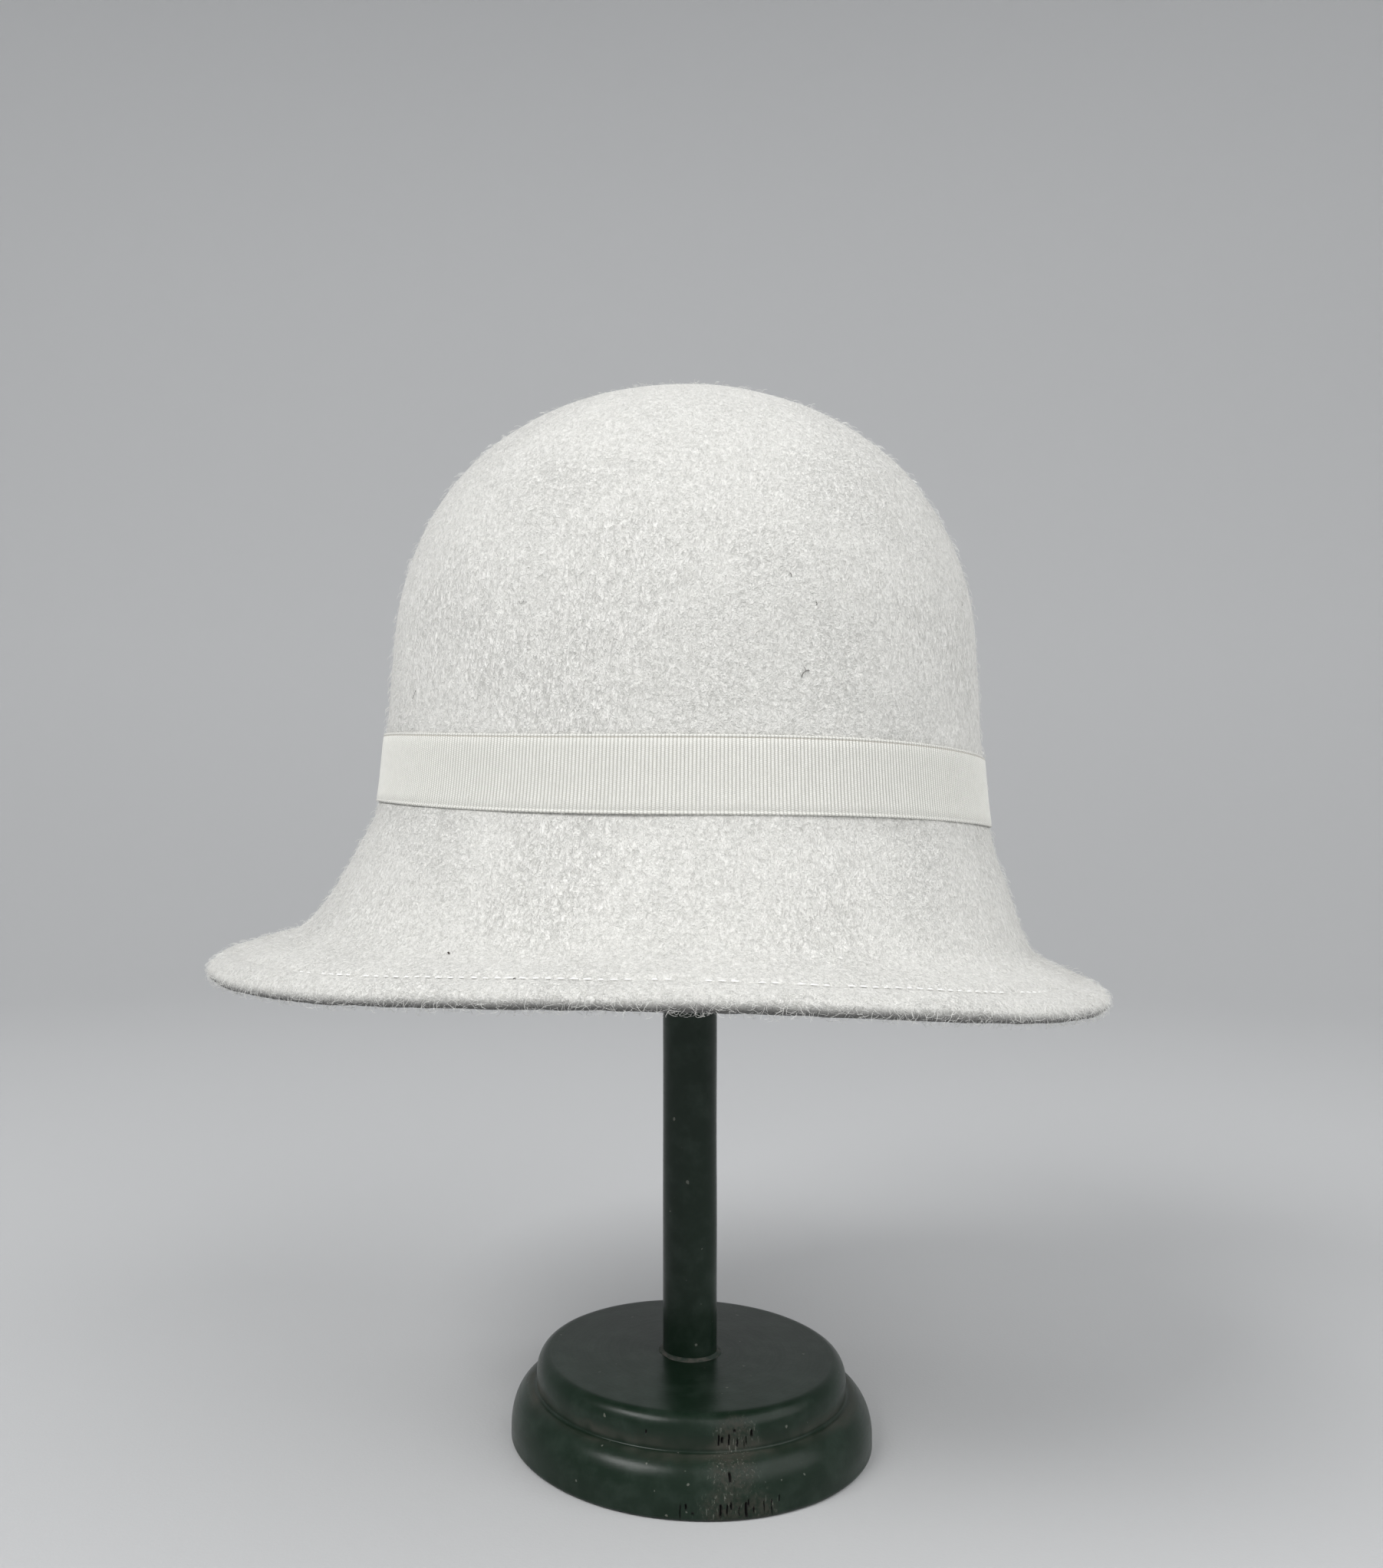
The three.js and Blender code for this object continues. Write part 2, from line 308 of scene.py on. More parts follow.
def new_tree(name, sockets):
    """A Geometry Nodes tree with a Geometry input and output, and one named input for each of sockets."""
    tree = bpy.data.node_groups.new(name, "GeometryNodeTree")
    tree.interface.new_socket("Geometry", in_out="INPUT", socket_type="NodeSocketGeometry")
    tree.interface.new_socket("Geometry", in_out="OUTPUT", socket_type="NodeSocketGeometry")
    for socket_name, socket_type in sockets.items():
        tree.interface.new_socket(socket_name, in_out="INPUT", socket_type=f"NodeSocket{socket_type}")
    return tree, add(tree, "NodeGroupInput").outputs


def end_tree(tree, geometry, material):
    realized = add(tree, "GeometryNodeRealizeInstances", {"Geometry": geometry}).outputs["Geometry"]
    painted = add(tree, "GeometryNodeSetMaterial", {"Geometry": realized, "Material": material})
    add(tree, "NodeGroupOutput", {"Geometry": painted.outputs["Geometry"]})


def run_tree(obj, tree, values):
    """Runs a Geometry Nodes tree on an object, and leaves the result as the object's plain mesh."""
    modifier = obj.modifiers.new(tree.name, "NODES")
    modifier.node_group = tree
    for item in tree.interface.items_tree:
        if item.in_out == "INPUT" and item.name in values:
            modifier[item.identifier] = values[item.name]
    depsgraph = bpy.context.evaluated_depsgraph_get()
    mesh = bpy.data.meshes.new_from_object(
        obj.evaluated_get(depsgraph), preserve_all_data_layers=True, depsgraph=depsgraph
    )
    obj.modifiers.remove(modifier)
    obj.data = mesh
    if len(mesh.polygons) == 0:
        raise RuntimeError(f"{tree.name} made no faces for {obj.name}")
    return obj


# Meshes

def make_object(name, vertices, faces=(), edges=(), material=None):
    mesh = bpy.data.meshes.new(name)
    mesh.from_pydata(np.asarray(vertices).tolist(), list(edges), [list(f) for f in faces])
    mesh.polygons.foreach_set("use_smooth", [True] * len(mesh.polygons))
    if material is not None:
        mesh.materials.append(material)
    obj = bpy.data.objects.new(name, mesh)
    bpy.context.scene.collection.objects.link(obj)
    return obj


def give_attribute(obj, name, values, kind="FLOAT"):
    values = np.asarray(values, np.float32)
    attribute = obj.data.attributes.new(name, kind, "POINT")
    attribute.data.foreach_set("vector" if kind == "FLOAT_VECTOR" else "value", values.ravel())


def ring_quads(rings, columns, first=0, closed=False):
    """Faces between rings that each go round once, the last also joined to the first if closed."""
    ring = np.arange(rings if closed else rings - 1)[:, None]
    column = np.arange(columns)[None, :]
    after, beside = (ring + 1) % rings * columns, (column + 1) % columns
    ring = ring * columns
    corners = (ring + column, after + column, after + beside, ring + beside)
    return first + np.stack([np.broadcast_to(c, (len(ring), columns)) for c in corners], -1).reshape(-1, 4)


def ring_surface(name, start, rings, end, material):
    """A mesh from a point and rings that each go round once, closed by a second point if one is given."""
    ring_count, columns = rings.shape[:2]
    vertices = np.concatenate([[start], rings.reshape(-1, 3), *([[end]] if end is not None else [])])
    column = np.arange(columns)
    beside = (column + 1) % columns
    top_fan = np.stack([np.zeros(columns, int), 1 + column, 1 + beside], -1)
    faces = [*top_fan.tolist(), *ring_quads(ring_count, columns, first=1).tolist()]
    if end is not None:
        foot = 1 + (ring_count - 1) * columns
        faces += np.stack([foot + column, np.full(columns, len(vertices) - 1), foot + beside], -1).tolist()
    return make_object(name, vertices, faces, material=material)


def around_axis(radius, height, angles):
    """Points at a distance from the Z axis, from the left side towards the back."""
    height = np.broadcast_to(height, radius.shape)
    return np.stack([radius * np.sin(angles), -radius * np.cos(angles), height], -1)


def round_angles(columns):
    return np.arange(columns) * 2 * np.pi / columns


RIPPLE_WAVES = 14


def ripples(points, length, seed):
    """Smooth random values from about -1 to 1, whose bumps are about length across."""
    random = np.random.default_rng(seed)
    total = np.zeros(points.shape[:-1])
    for _ in range(RIPPLE_WAVES):
        direction = random.normal(size=3)
        direction *= 2 * np.pi / (length * random.uniform(0.8, 2.0) * np.linalg.norm(direction))
        total += np.sin(points @ direction + random.uniform(0, 2 * np.pi))
    return total / math.sqrt(RIPPLE_WAVES)


def smooth_step(values, low, high):
    t = np.clip((values - low) / (high - low), 0, 1)
    return t * t * (3 - 2 * t)


def finish_piece(obj, slot, *nodes):
    """Puts a finished piece on the one body and hides the solids that it stands for. Its slot is not used."""
    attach(obj, "root")
    if nodes:
        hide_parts(*nodes)


# The hood's shape

# Crown rows from the tip down: height as a share of the crown's height, reach as a share of the foot's
CROWN_ROWS = [
    (1.0, 0.0), (0.955, 0.361), (0.88, 0.574), (0.78, 0.741), (0.65, 0.861),
    (0.5, 0.932), (0.32, 0.959), (0.16, 0.973), (0.0, 1.0),
]
# Brim rows from the crown's foot down, as shares: drop, reach to the front, side and back, lift
BRIM_ROWS = [
    (0.2, 0.095, 0.09, 0.082, 0.04), (0.4, 0.193, 0.19, 0.188, 0.16), (0.6, 0.312, 0.295, 0.285, 0.36),
    (0.78, 0.475, 0.44, 0.415, 0.61), (0.885, 0.765, 0.72, 0.665, 0.78), (0.95, 0.94, 0.92, 0.89, 0.9),
    (1.0, 1.0, 1.0, 1.0, 1.0),
]
STEPS_PER_ROW = 60
NORMAL_TURN = 2e-4


def hood_sections(hood):
    """Each row's height, reach to the front, side and back, lift, and lean."""
    length, width = hood.half_length, hood.half_width
    crown = [(h * hood.height, r * length, r * width, r * length, 0.0, h * hood.lean) for h, r in CROWN_ROWS]
    brim = [
        (-drop * hood.brim_depth, length + front * hood.brim_front, width + side * hood.brim_side,
         length + back * hood.brim_back, lift * hood.side_lift, 0.0)
        for drop, front, side, back, lift in BRIM_ROWS
    ]
    return crown + brim


def section_points(section, angles, sign=1.0):
    z, front, side, back, lift, lean = section
    forward = np.where(np.cos(angles) > 0, front, back)
    x, y = -sign * forward * np.cos(angles) - lean, -sign * side * np.sin(angles)
    return np.stack([x, y, z + lift * np.sin(angles) ** 4], -1)


def hood_rows(hood, angles):
    """The points of each row at the angles, after the first crown row's on the far side of the tip."""
    sections = hood_sections(hood)
    across = section_points(sections[1], angles, -1.0)
    return np.stack([across, *(section_points(s, angles) for s in sections)], 1)


def centripetal(points, steps):
    """Smooth lines through points, from the second on, with the given number of steps between two of them."""
    before = 2 * points[:, :1] - points[:, 1:2]
    after = 2 * points[:, -1:] - points[:, -2:-1]
    p = np.concatenate([before, points, after], 1)
    spacing = np.sqrt(np.linalg.norm(np.diff(p, axis=1), axis=2, keepdims=True))
    t = (np.arange(steps) / steps)[None, :, None]
    spans = []
    for i in range(2, p.shape[1] - 2):
        p0, p1, p2, p3 = (p[:, i + k][:, None] for k in (-1, 0, 1, 2))
        d0, d1, d2 = (spacing[:, i + k][:, None] for k in (-1, 0, 1))
        start = ((p1 - p0) / d0 - (p2 - p0) / (d0 + d1) + (p2 - p1) / d1) * d1
        end = ((p2 - p1) / d1 - (p3 - p1) / (d1 + d2) + (p3 - p2) / d2) * d1
        spans.append(
            p1 + start * t + (3 * (p2 - p1) - 2 * start - end) * t**2 + (2 * (p1 - p2) + start + end) * t**3
        )
    return np.concatenate([*spans, points[:, -1:]], 1)


class HoodLines:
    """Lines down the felt's outer face, from the tip to the brim's edge, one for each angle round the hat."""

    def __init__(self, hood, angles):
        self.hood = hood
        self.angles = angles
        self.points = centripetal(hood_rows(hood, angles), STEPS_PER_ROW)
        gaps = np.linalg.norm(np.diff(self.points, axis=1), axis=2)
        self.lengths = np.concatenate([np.zeros((len(angles), 1)), np.cumsum(gaps, 1)], 1)
        self.total = self.lengths[:, -1]
        self.foot = self.lengths[:, (len(CROWN_ROWS) - 1) * STEPS_PER_ROW]
        down = np.gradient(self.points, axis=1)
        after, before = (
            centripetal(hood_rows(hood, angles + turn), STEPS_PER_ROW) for turn in (NORMAL_TURN, -NORMAL_TURN)
        )
        normals = np.cross(down, after - before)
        normals[:, 0] = (0, 0, 1)
        self.normals = normals / np.linalg.norm(normals, axis=2, keepdims=True)

    def at(self, distances):
        """The points and outward normals at distances from the tip, one row of them for each line."""
        def pick(values):
            return np.stack(
                [[np.interp(d, length, v[:, k]) for k in range(3)]
                 for d, length, v in zip(distances, self.lengths, values)]
            ).transpose(0, 2, 1)
        normals = pick(self.normals)
        return pick(self.points), normals / np.linalg.norm(normals, axis=2, keepdims=True)

    def distance_at_height(self, heights):
        """How far from the tip each line reaches the given heights above the crown's foot."""
        return np.stack(
            [np.interp(-h, -points[:, 2], length)
             for h, points, length in zip(heights, self.points, self.lengths)]
        )


def turn_hat(points, hood):
    """Tilts and slides points as the hat sits on its stand, before it is lowered onto the dome."""
    x, y, z = points[..., 0] + hood.slide, points[..., 1], points[..., 2]
    cosine, sine = math.cos(hood.tilt), math.sin(hood.tilt)
    return np.stack([x * cosine + z * sine, y, z * cosine - x * sine], -1)


def place_hat(points, hood):
    """Points of the hat in the part's frame. The tip is where the solid hood has it."""
    tip = turn_hat(section_points(hood_sections(hood)[0], np.zeros(1)), hood)[0, 2]
    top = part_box("felt_hood")[1].z
    return turn_hat(points, hood) + (0, 0, top - tip)


def turn_vectors(vectors, hood):
    return turn_hat(vectors, hood) - turn_hat(np.zeros(3), hood)


# Materials

def strands(tree, field, width):
    """Thin curled lines where a noise field crosses its middle value."""
    return ramp(tree, calculate(tree, "ABSOLUTE", minus(tree, field, 0.5)), 0.0, width, 1.0, 0.0)


# The felt's patterns, in bumps a metre: lines and tufts where it is brushed and where it is matted, the areas
# of the two, its grain and clouds, and the stray curls with their areas
BRUSHED_LINES, BRUSHED_TUFTS, MATTED_LINES, MATTED_TUFTS, FELT_AREAS = 850, 900, 920, 1000, 18
FELT_GRAIN, FELT_CLOUDS, CURLS, CURL_AREAS = 2400, 60, 520, 260
STRAND_WIDTH, CURL_WIDTH = 0.12, 0.03
# How dark the painted shade on the fold's underside is, as a share of the felt's darker tone
PAINTED_SHADE_TONE = 0.2


def felt_material():
    colours = settings().colours
    material, tree, shader = new_material(
        "white_wool_felt", Roughness=0.95, Specular_IOR_Level=0.15, Sheen_Weight=0.25, Sheen_Roughness=0.6
    )
    place = object_coordinates(tree)
    upright = object_coordinates(tree, stretch=(1.0, 1.0, 0.45))
    level = object_coordinates(tree, stretch=(0.8, 0.8, 0.7))
    brushed = strands(tree, noise(tree, upright, BRUSHED_LINES, detail=2, distortion=1.4), STRAND_WIDTH)
    matted = strands(tree, noise(tree, level, MATTED_LINES, detail=2, distortion=1.7), STRAND_WIDTH)
    area = ramp(tree, noise(tree, place, FELT_AREAS, detail=1), 0.3, 0.7)
    lines = mixed(tree, area, brushed, matted)
    tufts = mixed(tree, area, noise(tree, upright, BRUSHED_TUFTS, detail=2, distortion=0.8),
                  noise(tree, level, MATTED_TUFTS, detail=2, distortion=0.8))
    grain = noise(tree, place, FELT_GRAIN, detail=2)
    cloud = ramp(tree, noise(tree, place, FELT_CLOUDS, roughness=0.6), 0.3, 0.7, 0.96, 1.0)
    body = plus(tree, times(tree, lines, 0.5), times(tree, ramp(tree, tufts, 0.32, 0.62), 0.4))
    body = plus(tree, body, times(tree, grain, 0.16))
    curls = strands(tree, noise(tree, place, CURLS, detail=2, roughness=0.6, distortion=2.6), CURL_WIDTH)
    curl_area = ramp(tree, noise(tree, place, CURL_AREAS, detail=1), 0.56, 0.64, 0.0, 0.55)
    tone = times(tree, times(tree, body, cloud), minus(tree, 1.0, times(tree, curls, curl_area)))
    unshaded = blend(tree, tone, colours.felt_shade, colours.felt)
    # Painted shade: the felt is darkened where the brim's edge turns under
    painted_shade = add(tree, "ShaderNodeAttribute", attribute_name="painted_shade").outputs["Fac"]
    shaded_felt = blend(tree, painted_shade, unshaded, shade(colours.felt_shade, PAINTED_SHADE_TONE))
    relief = plus(tree, tufts, times(tree, lines, 0.2))
    plug(tree, shader, shaded_felt, relief, distance=1.4 * MM, strength=0.8)
    return material


def fibre_material():
    colours = settings().colours
    return mottled_material(
        "wool_fibre", colours.felt, colours.fibre, {"scale": 160, "detail": 2}, 0.2, 0.5,
        Roughness=0.8, Specular_IOR_Level=0.2,
    )


SELVEDGE_LINE_WIDTH = 0.3 * MM
YARN = 300


def ribbon_material():
    ribbon, colours = settings().ribbon, settings().colours
    material, tree, shader = new_material(
        "ivory_grosgrain", Roughness=0.62, Specular_IOR_Level=0.35, Sheen_Weight=0.15, Sheen_Roughness=0.4
    )
    flat = add(tree, "ShaderNodeSeparateXYZ", {0: add(tree, "ShaderNodeUVMap", uv_map="UVMap").outputs["UV"]})
    around, up = flat.outputs["X"], flat.outputs["Y"]
    ribs = over(tree, around, ribbon.rib_pitch)
    stagger = times(tree, calculate(tree, "FLOOR", ribs), 0.5)
    bead = ridges(tree, plus(tree, over(tree, up, ribbon.bead_pitch), stagger))
    weave = times(tree, plus(tree, bead, 0.6), ridges(tree, ribs))
    # The grooves between the raised ribs take the darker tone: painted shade
    body = blend(tree, ramp(tree, weave, 0.1, 1.1), colours.ribbon_shade, colours.ribbon)
    from_line = calculate(tree, "ABSOLUTE", minus(tree, ribbon.width - ribbon.selvedge, up))
    line = times(tree, ramp(tree, from_line, 0.0, SELVEDGE_LINE_WIDTH, 1.0, 0.0), 0.55)
    lined = blend(tree, line, body, colours.selvedge)
    yarn = ramp(tree, noise(tree, object_coordinates(tree), YARN), 0.3, 0.7, 0.0, 0.12)
    tone = blend(tree, yarn, lined, colours.ribbon_shade)
    plug(tree, shader, tone, weave, distance=0.12 * MM, strength=0.8)
    return material


def thread_material():
    colours = settings().colours
    return mottled_material(
        "white_thread", colours.ribbon, colours.thread, {"scale": 1500, "detail": 2}, 0.2, 0.5,
        (1.0, 1.0, 3.0), {"distance": 0.1 * MM, "strength": 0.6}, Roughness=0.5, Specular_IOR_Level=0.5,
    )


def lint_material():
    colours = settings().colours
    pattern = {"scale": 900, "detail": 2}
    return mottled_material("dark_lint", colours.lint, colours.bare_wood, pattern, 0.4, 0.8, Roughness=0.7)


# The paint's patterns, in bumps a metre
BRUSH_MARKS, SPECKLE, TURNING, DUST_AREAS, STREAKS, NICKS = 110, 900, 1300, 55, 1500, 420


def paint_material():
    stand, colours = settings().stand, settings().colours
    material, tree, shader = new_material("bottle_green_paint", Specular_IOR_Level=0.22)
    place = object_coordinates(tree)
    parts = add(tree, "ShaderNodeSeparateXYZ", {0: place}).outputs
    flat = add(tree, "ShaderNodeCombineXYZ", {"X": parts["X"], "Y": parts["Y"]}).outputs[0]
    radius = vector_math(tree, "LENGTH", flat).outputs["Value"]
    brush = noise(tree, place, BRUSH_MARKS, detail=5, roughness=0.6)
    speckle = noise(tree, place, SPECKLE, roughness=0.6)
    sway = times(tree, brush, 3 * MM)
    turned = add(tree, "ShaderNodeCombineXYZ", {"X": radius, "Y": sway, "Z": parts["Z"]}).outputs[0]
    turning = noise(tree, turned, TURNING, roughness=0.7)
    base = blend(tree, ramp(tree, brush, 0.4, 0.75), colours.paint, colours.paint_light)

    # Dust lies on the ledge and in the crease between the two steps
    above = minus(tree, parts["Z"], stand.foot_height)
    outside = minus(tree, radius, stand.step_radius)
    squares = plus(tree, calculate(tree, "POWER", above, 2.0), calculate(tree, "POWER", outside, 2.0))
    away = calculate(tree, "SQRT", squares)
    ragged = plus(tree, away, times(tree, minus(tree, brush, 0.5), 9 * MM))
    dust_area = ramp(tree, noise(tree, place, DUST_AREAS), 0.42, 0.62, 0.15, 1.0)
    dust = times(tree, ramp(tree, ragged, 0.2 * MM, 5.5 * MM, 0.95, 0.0), dust_area)
    dust = times(tree, dust, ramp(tree, away, 0.3 * MM, 1.6 * MM, 0.1, 1.0))
    dusty = blend(tree, dust, base, colours.dirt)

    # The paint has worn to brown wood where the end grain has split, and is rubbed in pale streaks
    near = 0.0
    for x, y, z, reach in WORN_SPOTS:
        spot = vector_math(tree, "DISTANCE", place, (x * MM, y * MM, z * MM)).outputs["Value"]
        near = calculate(tree, "MAXIMUM", near, ramp(tree, spot, 0.3 * reach * MM, reach * MM, 1.0, 0.0))
    worn = times(tree, near, ramp(tree, plus(tree, near, brush), 0.75, 1.15))
    worn = times(tree, worn, ramp(tree, speckle, 0.35, 0.65, 0.08, 0.55))
    bared = blend(tree, worn, dusty, colours.bare_wood)
    upright = object_coordinates(tree, stretch=(1.0, 1.0, 0.22))
    streaks = times(tree, ramp(tree, noise(tree, upright, STREAKS, roughness=0.65), 0.58, 0.67), near)
    streaks = times(tree, streaks, ramp(tree, brush, 0.4, 0.6))
    nicks = ramp(tree, noise(tree, place, NICKS, detail=1), 0.76, 0.8, 0.0, 0.6)
    marks = calculate(tree, "MAXIMUM", times(tree, streaks, 0.8), nicks)
    marked = blend(tree, marks, bared, colours.scuff)
    matt = times(tree, calculate(tree, "MAXIMUM", worn, dust), 0.35)
    rough = plus(tree, ramp(tree, turning, 0.35, 0.65, 0.28, 0.33), matt)
    relief = plus(tree, times(tree, brush, 0.3), times(tree, turning, 0.1))
    relief = plus(tree, relief, times(tree, speckle, 0.2))
    plug(tree, shader, marked, relief, distance=0.22 * MM, strength=0.4, roughness=rough)
    return material


def split_material():
    # Near-black inside the splits: painted shadow, with the bare wood's tone in places
    wood = settings().colours.bare_wood
    return mottled_material("split_shadow", shade(wood, 0.06), wood, {"scale": 700}, 0.6, 0.9, Roughness=0.9)


def fillet_material():
    colours = settings().colours
    return mottled_material(
        "dusty_paint", colours.paint_light, colours.dirt, {"scale": 420, "detail": 4}, 0.35, 0.65,
        relief={"distance": 0.3 * MM, "strength": 0.6}, Roughness=0.75,
    )


def wood_material():
    wood = settings().colours.wood
    grain = {"scale": 70, "detail": 5, "roughness": 0.6, "distortion": 0.4}
    return mottled_material(
        "turned_wood", shade(wood, 0.6), wood, grain, 0.35, 0.65, (1.0, 12.0, 1.0),
        {"distance": 0.2 * MM, "strength": 0.5}, Roughness=0.6,
    )


# Hat

HOOD_COLUMNS = 400
CROWN_RINGS = 78
SKIRT_RINGS = 44
HEM_RINGS = 24
FOLD_STEPS = 7
HEM_BACK_RINGS = 8
INNER_RINGS = 46
HEM_PUFF = 0.28 * MM
FOLD_UNEVENNESS = 0.18 * MM
# Over which rings the painted shade under the fold comes in, from the fold's outer edge, and goes, from its
# inner one
PAINTED_SHADE_COMES, PAINTED_SHADE_GOES = (-0.2, 3.2), (-1, 3)
# How the ribbon presses the felt, which bulges a little beyond each of its edges
BULGE, BULGE_REACH, BULGE_AWAY = 0.3 * MM, 1.5 * MM, 2.2 * MM


def even_columns(start, end, rings):
    """Distances from start to end on each line, the first left out."""
    shares = np.arange(1, rings + 1) / rings
    return start[:, None] + (end - start)[:, None] * shares[None, :]


def hood_profile(lines, distances):
    """The outer face at distances from the tip, with its unevenness, its dip along the stitches and its bulge
    over each edge of the ribbon."""
    hood, stitch, ribbon = lines.hood, settings().stitch, settings().ribbon
    points, normals = lines.at(distances)
    from_edge = lines.total[:, None] - distances
    uneven = 0.7 * ripples(points, 42 * MM, SEED) + 0.3 * ripples(points, 13 * MM, SEED + 1)
    dip = np.exp(-(((from_edge - stitch.inset) / stitch.groove) ** 2))
    puff = np.sin(np.pi * np.clip(from_edge / stitch.inset, 0, 1))
    above = points[..., 2] - ribbon_sway(ribbon, lines.angles)[:, None]
    beyond = (ribbon.width + BULGE_AWAY, -BULGE_AWAY)
    bulges = sum(np.exp(-(((above - at) / BULGE_REACH) ** 2)) for at in beyond)
    stands_out = hood.unevenness * uneven + HEM_PUFF * puff - stitch.sink * dip + BULGE * bulges
    return points + normals * stands_out[..., None], normals


def fold_points(lines, outer_edge):
    """The round of the turned-under edge, from the outer face's edge to the inner layer's."""
    hood = lines.hood
    edge, normal = lines.at(lines.total[:, None])
    before, _ = lines.at(lines.total[:, None] - 0.5 * MM)
    outwards = (edge - before) / np.linalg.norm(edge - before, axis=2, keepdims=True)
    turns = np.pi * np.arange(1, FOLD_STEPS + 1) / FOLD_STEPS
    down, out = np.cos(turns)[None, :, None], np.sin(turns)[None, :, None]
    fold = edge + hood.thickness * (normal * (down - 1) + outwards * out)
    fold += (outer_edge - edge) * (1 + down) / 2
    return fold + outwards * (FOLD_UNEVENNESS * ripples(fold, 7 * MM, SEED + 2))[..., None]


class CLOCHE_OT_felt_hood(Operator):
    """Makes the blocked felt hood with its turned-under hem"""

    bl_idname = "cloche.felt_hood"
    bl_label = "Felt Hood"

    def execute(self, context):
        hood = settings().hood
        lines = HoodLines(hood, round_angles(HOOD_COLUMNS))
        hem_start = lines.total - hood.hem_width
        outer_at = np.concatenate([
            even_columns(np.zeros(HOOD_COLUMNS), lines.foot, CROWN_RINGS),
            even_columns(lines.foot, hem_start, SKIRT_RINGS),
            even_columns(hem_start, lines.total, HEM_RINGS),
        ], 1)
        outer, _ = hood_profile(lines, outer_at)
        fold = fold_points(lines, outer[:, -1:])
        points, normals = lines.at(even_columns(lines.total, hem_start, HEM_BACK_RINGS))
        hem = points - 2 * hood.thickness * normals
        inner_at = hem_start[:, None] * (1 - np.arange(INNER_RINGS)[None, :] / INNER_RINGS)
        points, normals = lines.at(inner_at)
        inner = points - hood.thickness * normals
        columns = np.concatenate([outer, fold, hem, inner], 1)
        rings = place_hat(columns, hood).transpose(1, 0, 2)
        tip = section_points(hood_sections(hood)[0], np.zeros(1))[0]
        under_tip = place_hat(tip - (0, 0, hood.thickness), hood)
        obj = ring_surface("hood_felt", place_hat(tip, hood), rings, under_tip, felt_material())
        edge = outer.shape[1]
        folded = edge + FOLD_STEPS
        areas = (("crown", 0, CROWN_RINGS), ("brim", CROWN_RINGS, edge), ("edge", edge - 4, folded))
        for area, first, last in areas:
            marks = np.zeros(rings.shape[:2])
            marks[first:last] = 1
            give_attribute(obj, area, [float(first == 0), *marks.ravel(), 0])
        ring = np.arange(rings.shape[0])
        # Painted shade on the fold's underside, from the outer face's edge round to the inner layer
        painted_shade = smooth_step(ring - edge, *PAINTED_SHADE_COMES) * (1 - smooth_step(ring - folded, *PAINTED_SHADE_GOES))
        give_attribute(obj, "painted_shade", [0, *np.repeat(painted_shade, HOOD_COLUMNS), 0])
        finish_piece(obj, "felt", "felt_hood")
        return {"FINISHED"}


def ribbon_sway(ribbon, angles):
    """How high the ribbon's lower edge lies above the crown's foot."""
    return ribbon.foot + ribbon.front_rise * np.cos(angles) + ribbon.wave * np.cos(3 * angles)


RIBBON_LAP_ANGLE = 1.5 * math.pi
COLUMNS_PER_RIB = 6
LAP_EDGE = 0.5 * MM


def rib_tree():
    """Raises the ribs of a ribbon and the beads of its two edges."""
    tree, inputs = new_tree("grosgrain ribs", {
        "Rib Pitch": "Float", "Rib Height": "Float", "Selvedge": "Float", "Width": "Float",
        "Material": "Material",
    })
    up = named_attribute(tree, "up")
    turns = over(tree, named_attribute(tree, "around"), inputs["Rib Pitch"])
    selvedge = inputs["Selvedge"]
    from_edge = calculate(tree, "MINIMUM", up, minus(tree, inputs["Width"], up))
    inside = add(tree, "ShaderNodeMapRange", {
        "Value": from_edge, "From Min": selvedge, "From Max": times(tree, selvedge, 1.35),
        "To Min": 0.0, "To Max": 1.0,
    }).outputs["Result"]
    edge_share = calculate(tree, "MINIMUM", over(tree, from_edge, selvedge), 1.0)
    round_edge = calculate(tree, "SINE", times(tree, edge_share, math.pi))
    beads = times(tree, round_edge, plus(tree, times(tree, ridges(tree, turns, 1.5), 0.4), 0.6))
    shape = plus(tree, times(tree, ridges(tree, turns), inside), beads)
    stands_out = times(tree, times(tree, shape, inputs["Rib Height"]), named_attribute(tree, "face"))
    offset = vector_math(tree, "SCALE", named_attribute(tree, "outward", "FLOAT_VECTOR"))
    tree.links.new(stands_out, offset.inputs["Scale"])
    moved = add(tree, "GeometryNodeSetPosition", {
        "Geometry": inputs["Geometry"], "Offset": offset.outputs[0],
    })
    end_tree(tree, moved.outputs["Geometry"], inputs["Material"])
    return tree


def even_ring(ring_at, columns):
    """Angles at which points lie evenly along a ring, and the ring's length."""
    probe = np.linspace(0, 2 * np.pi, 1441)
    ring = ring_at(probe)
    walked = np.concatenate([[0], np.cumsum(np.linalg.norm(np.diff(ring, axis=0), axis=1))])
    wanted = walked[-1] * np.arange(columns) / columns
    return np.interp(wanted, walked, probe), walked[-1]


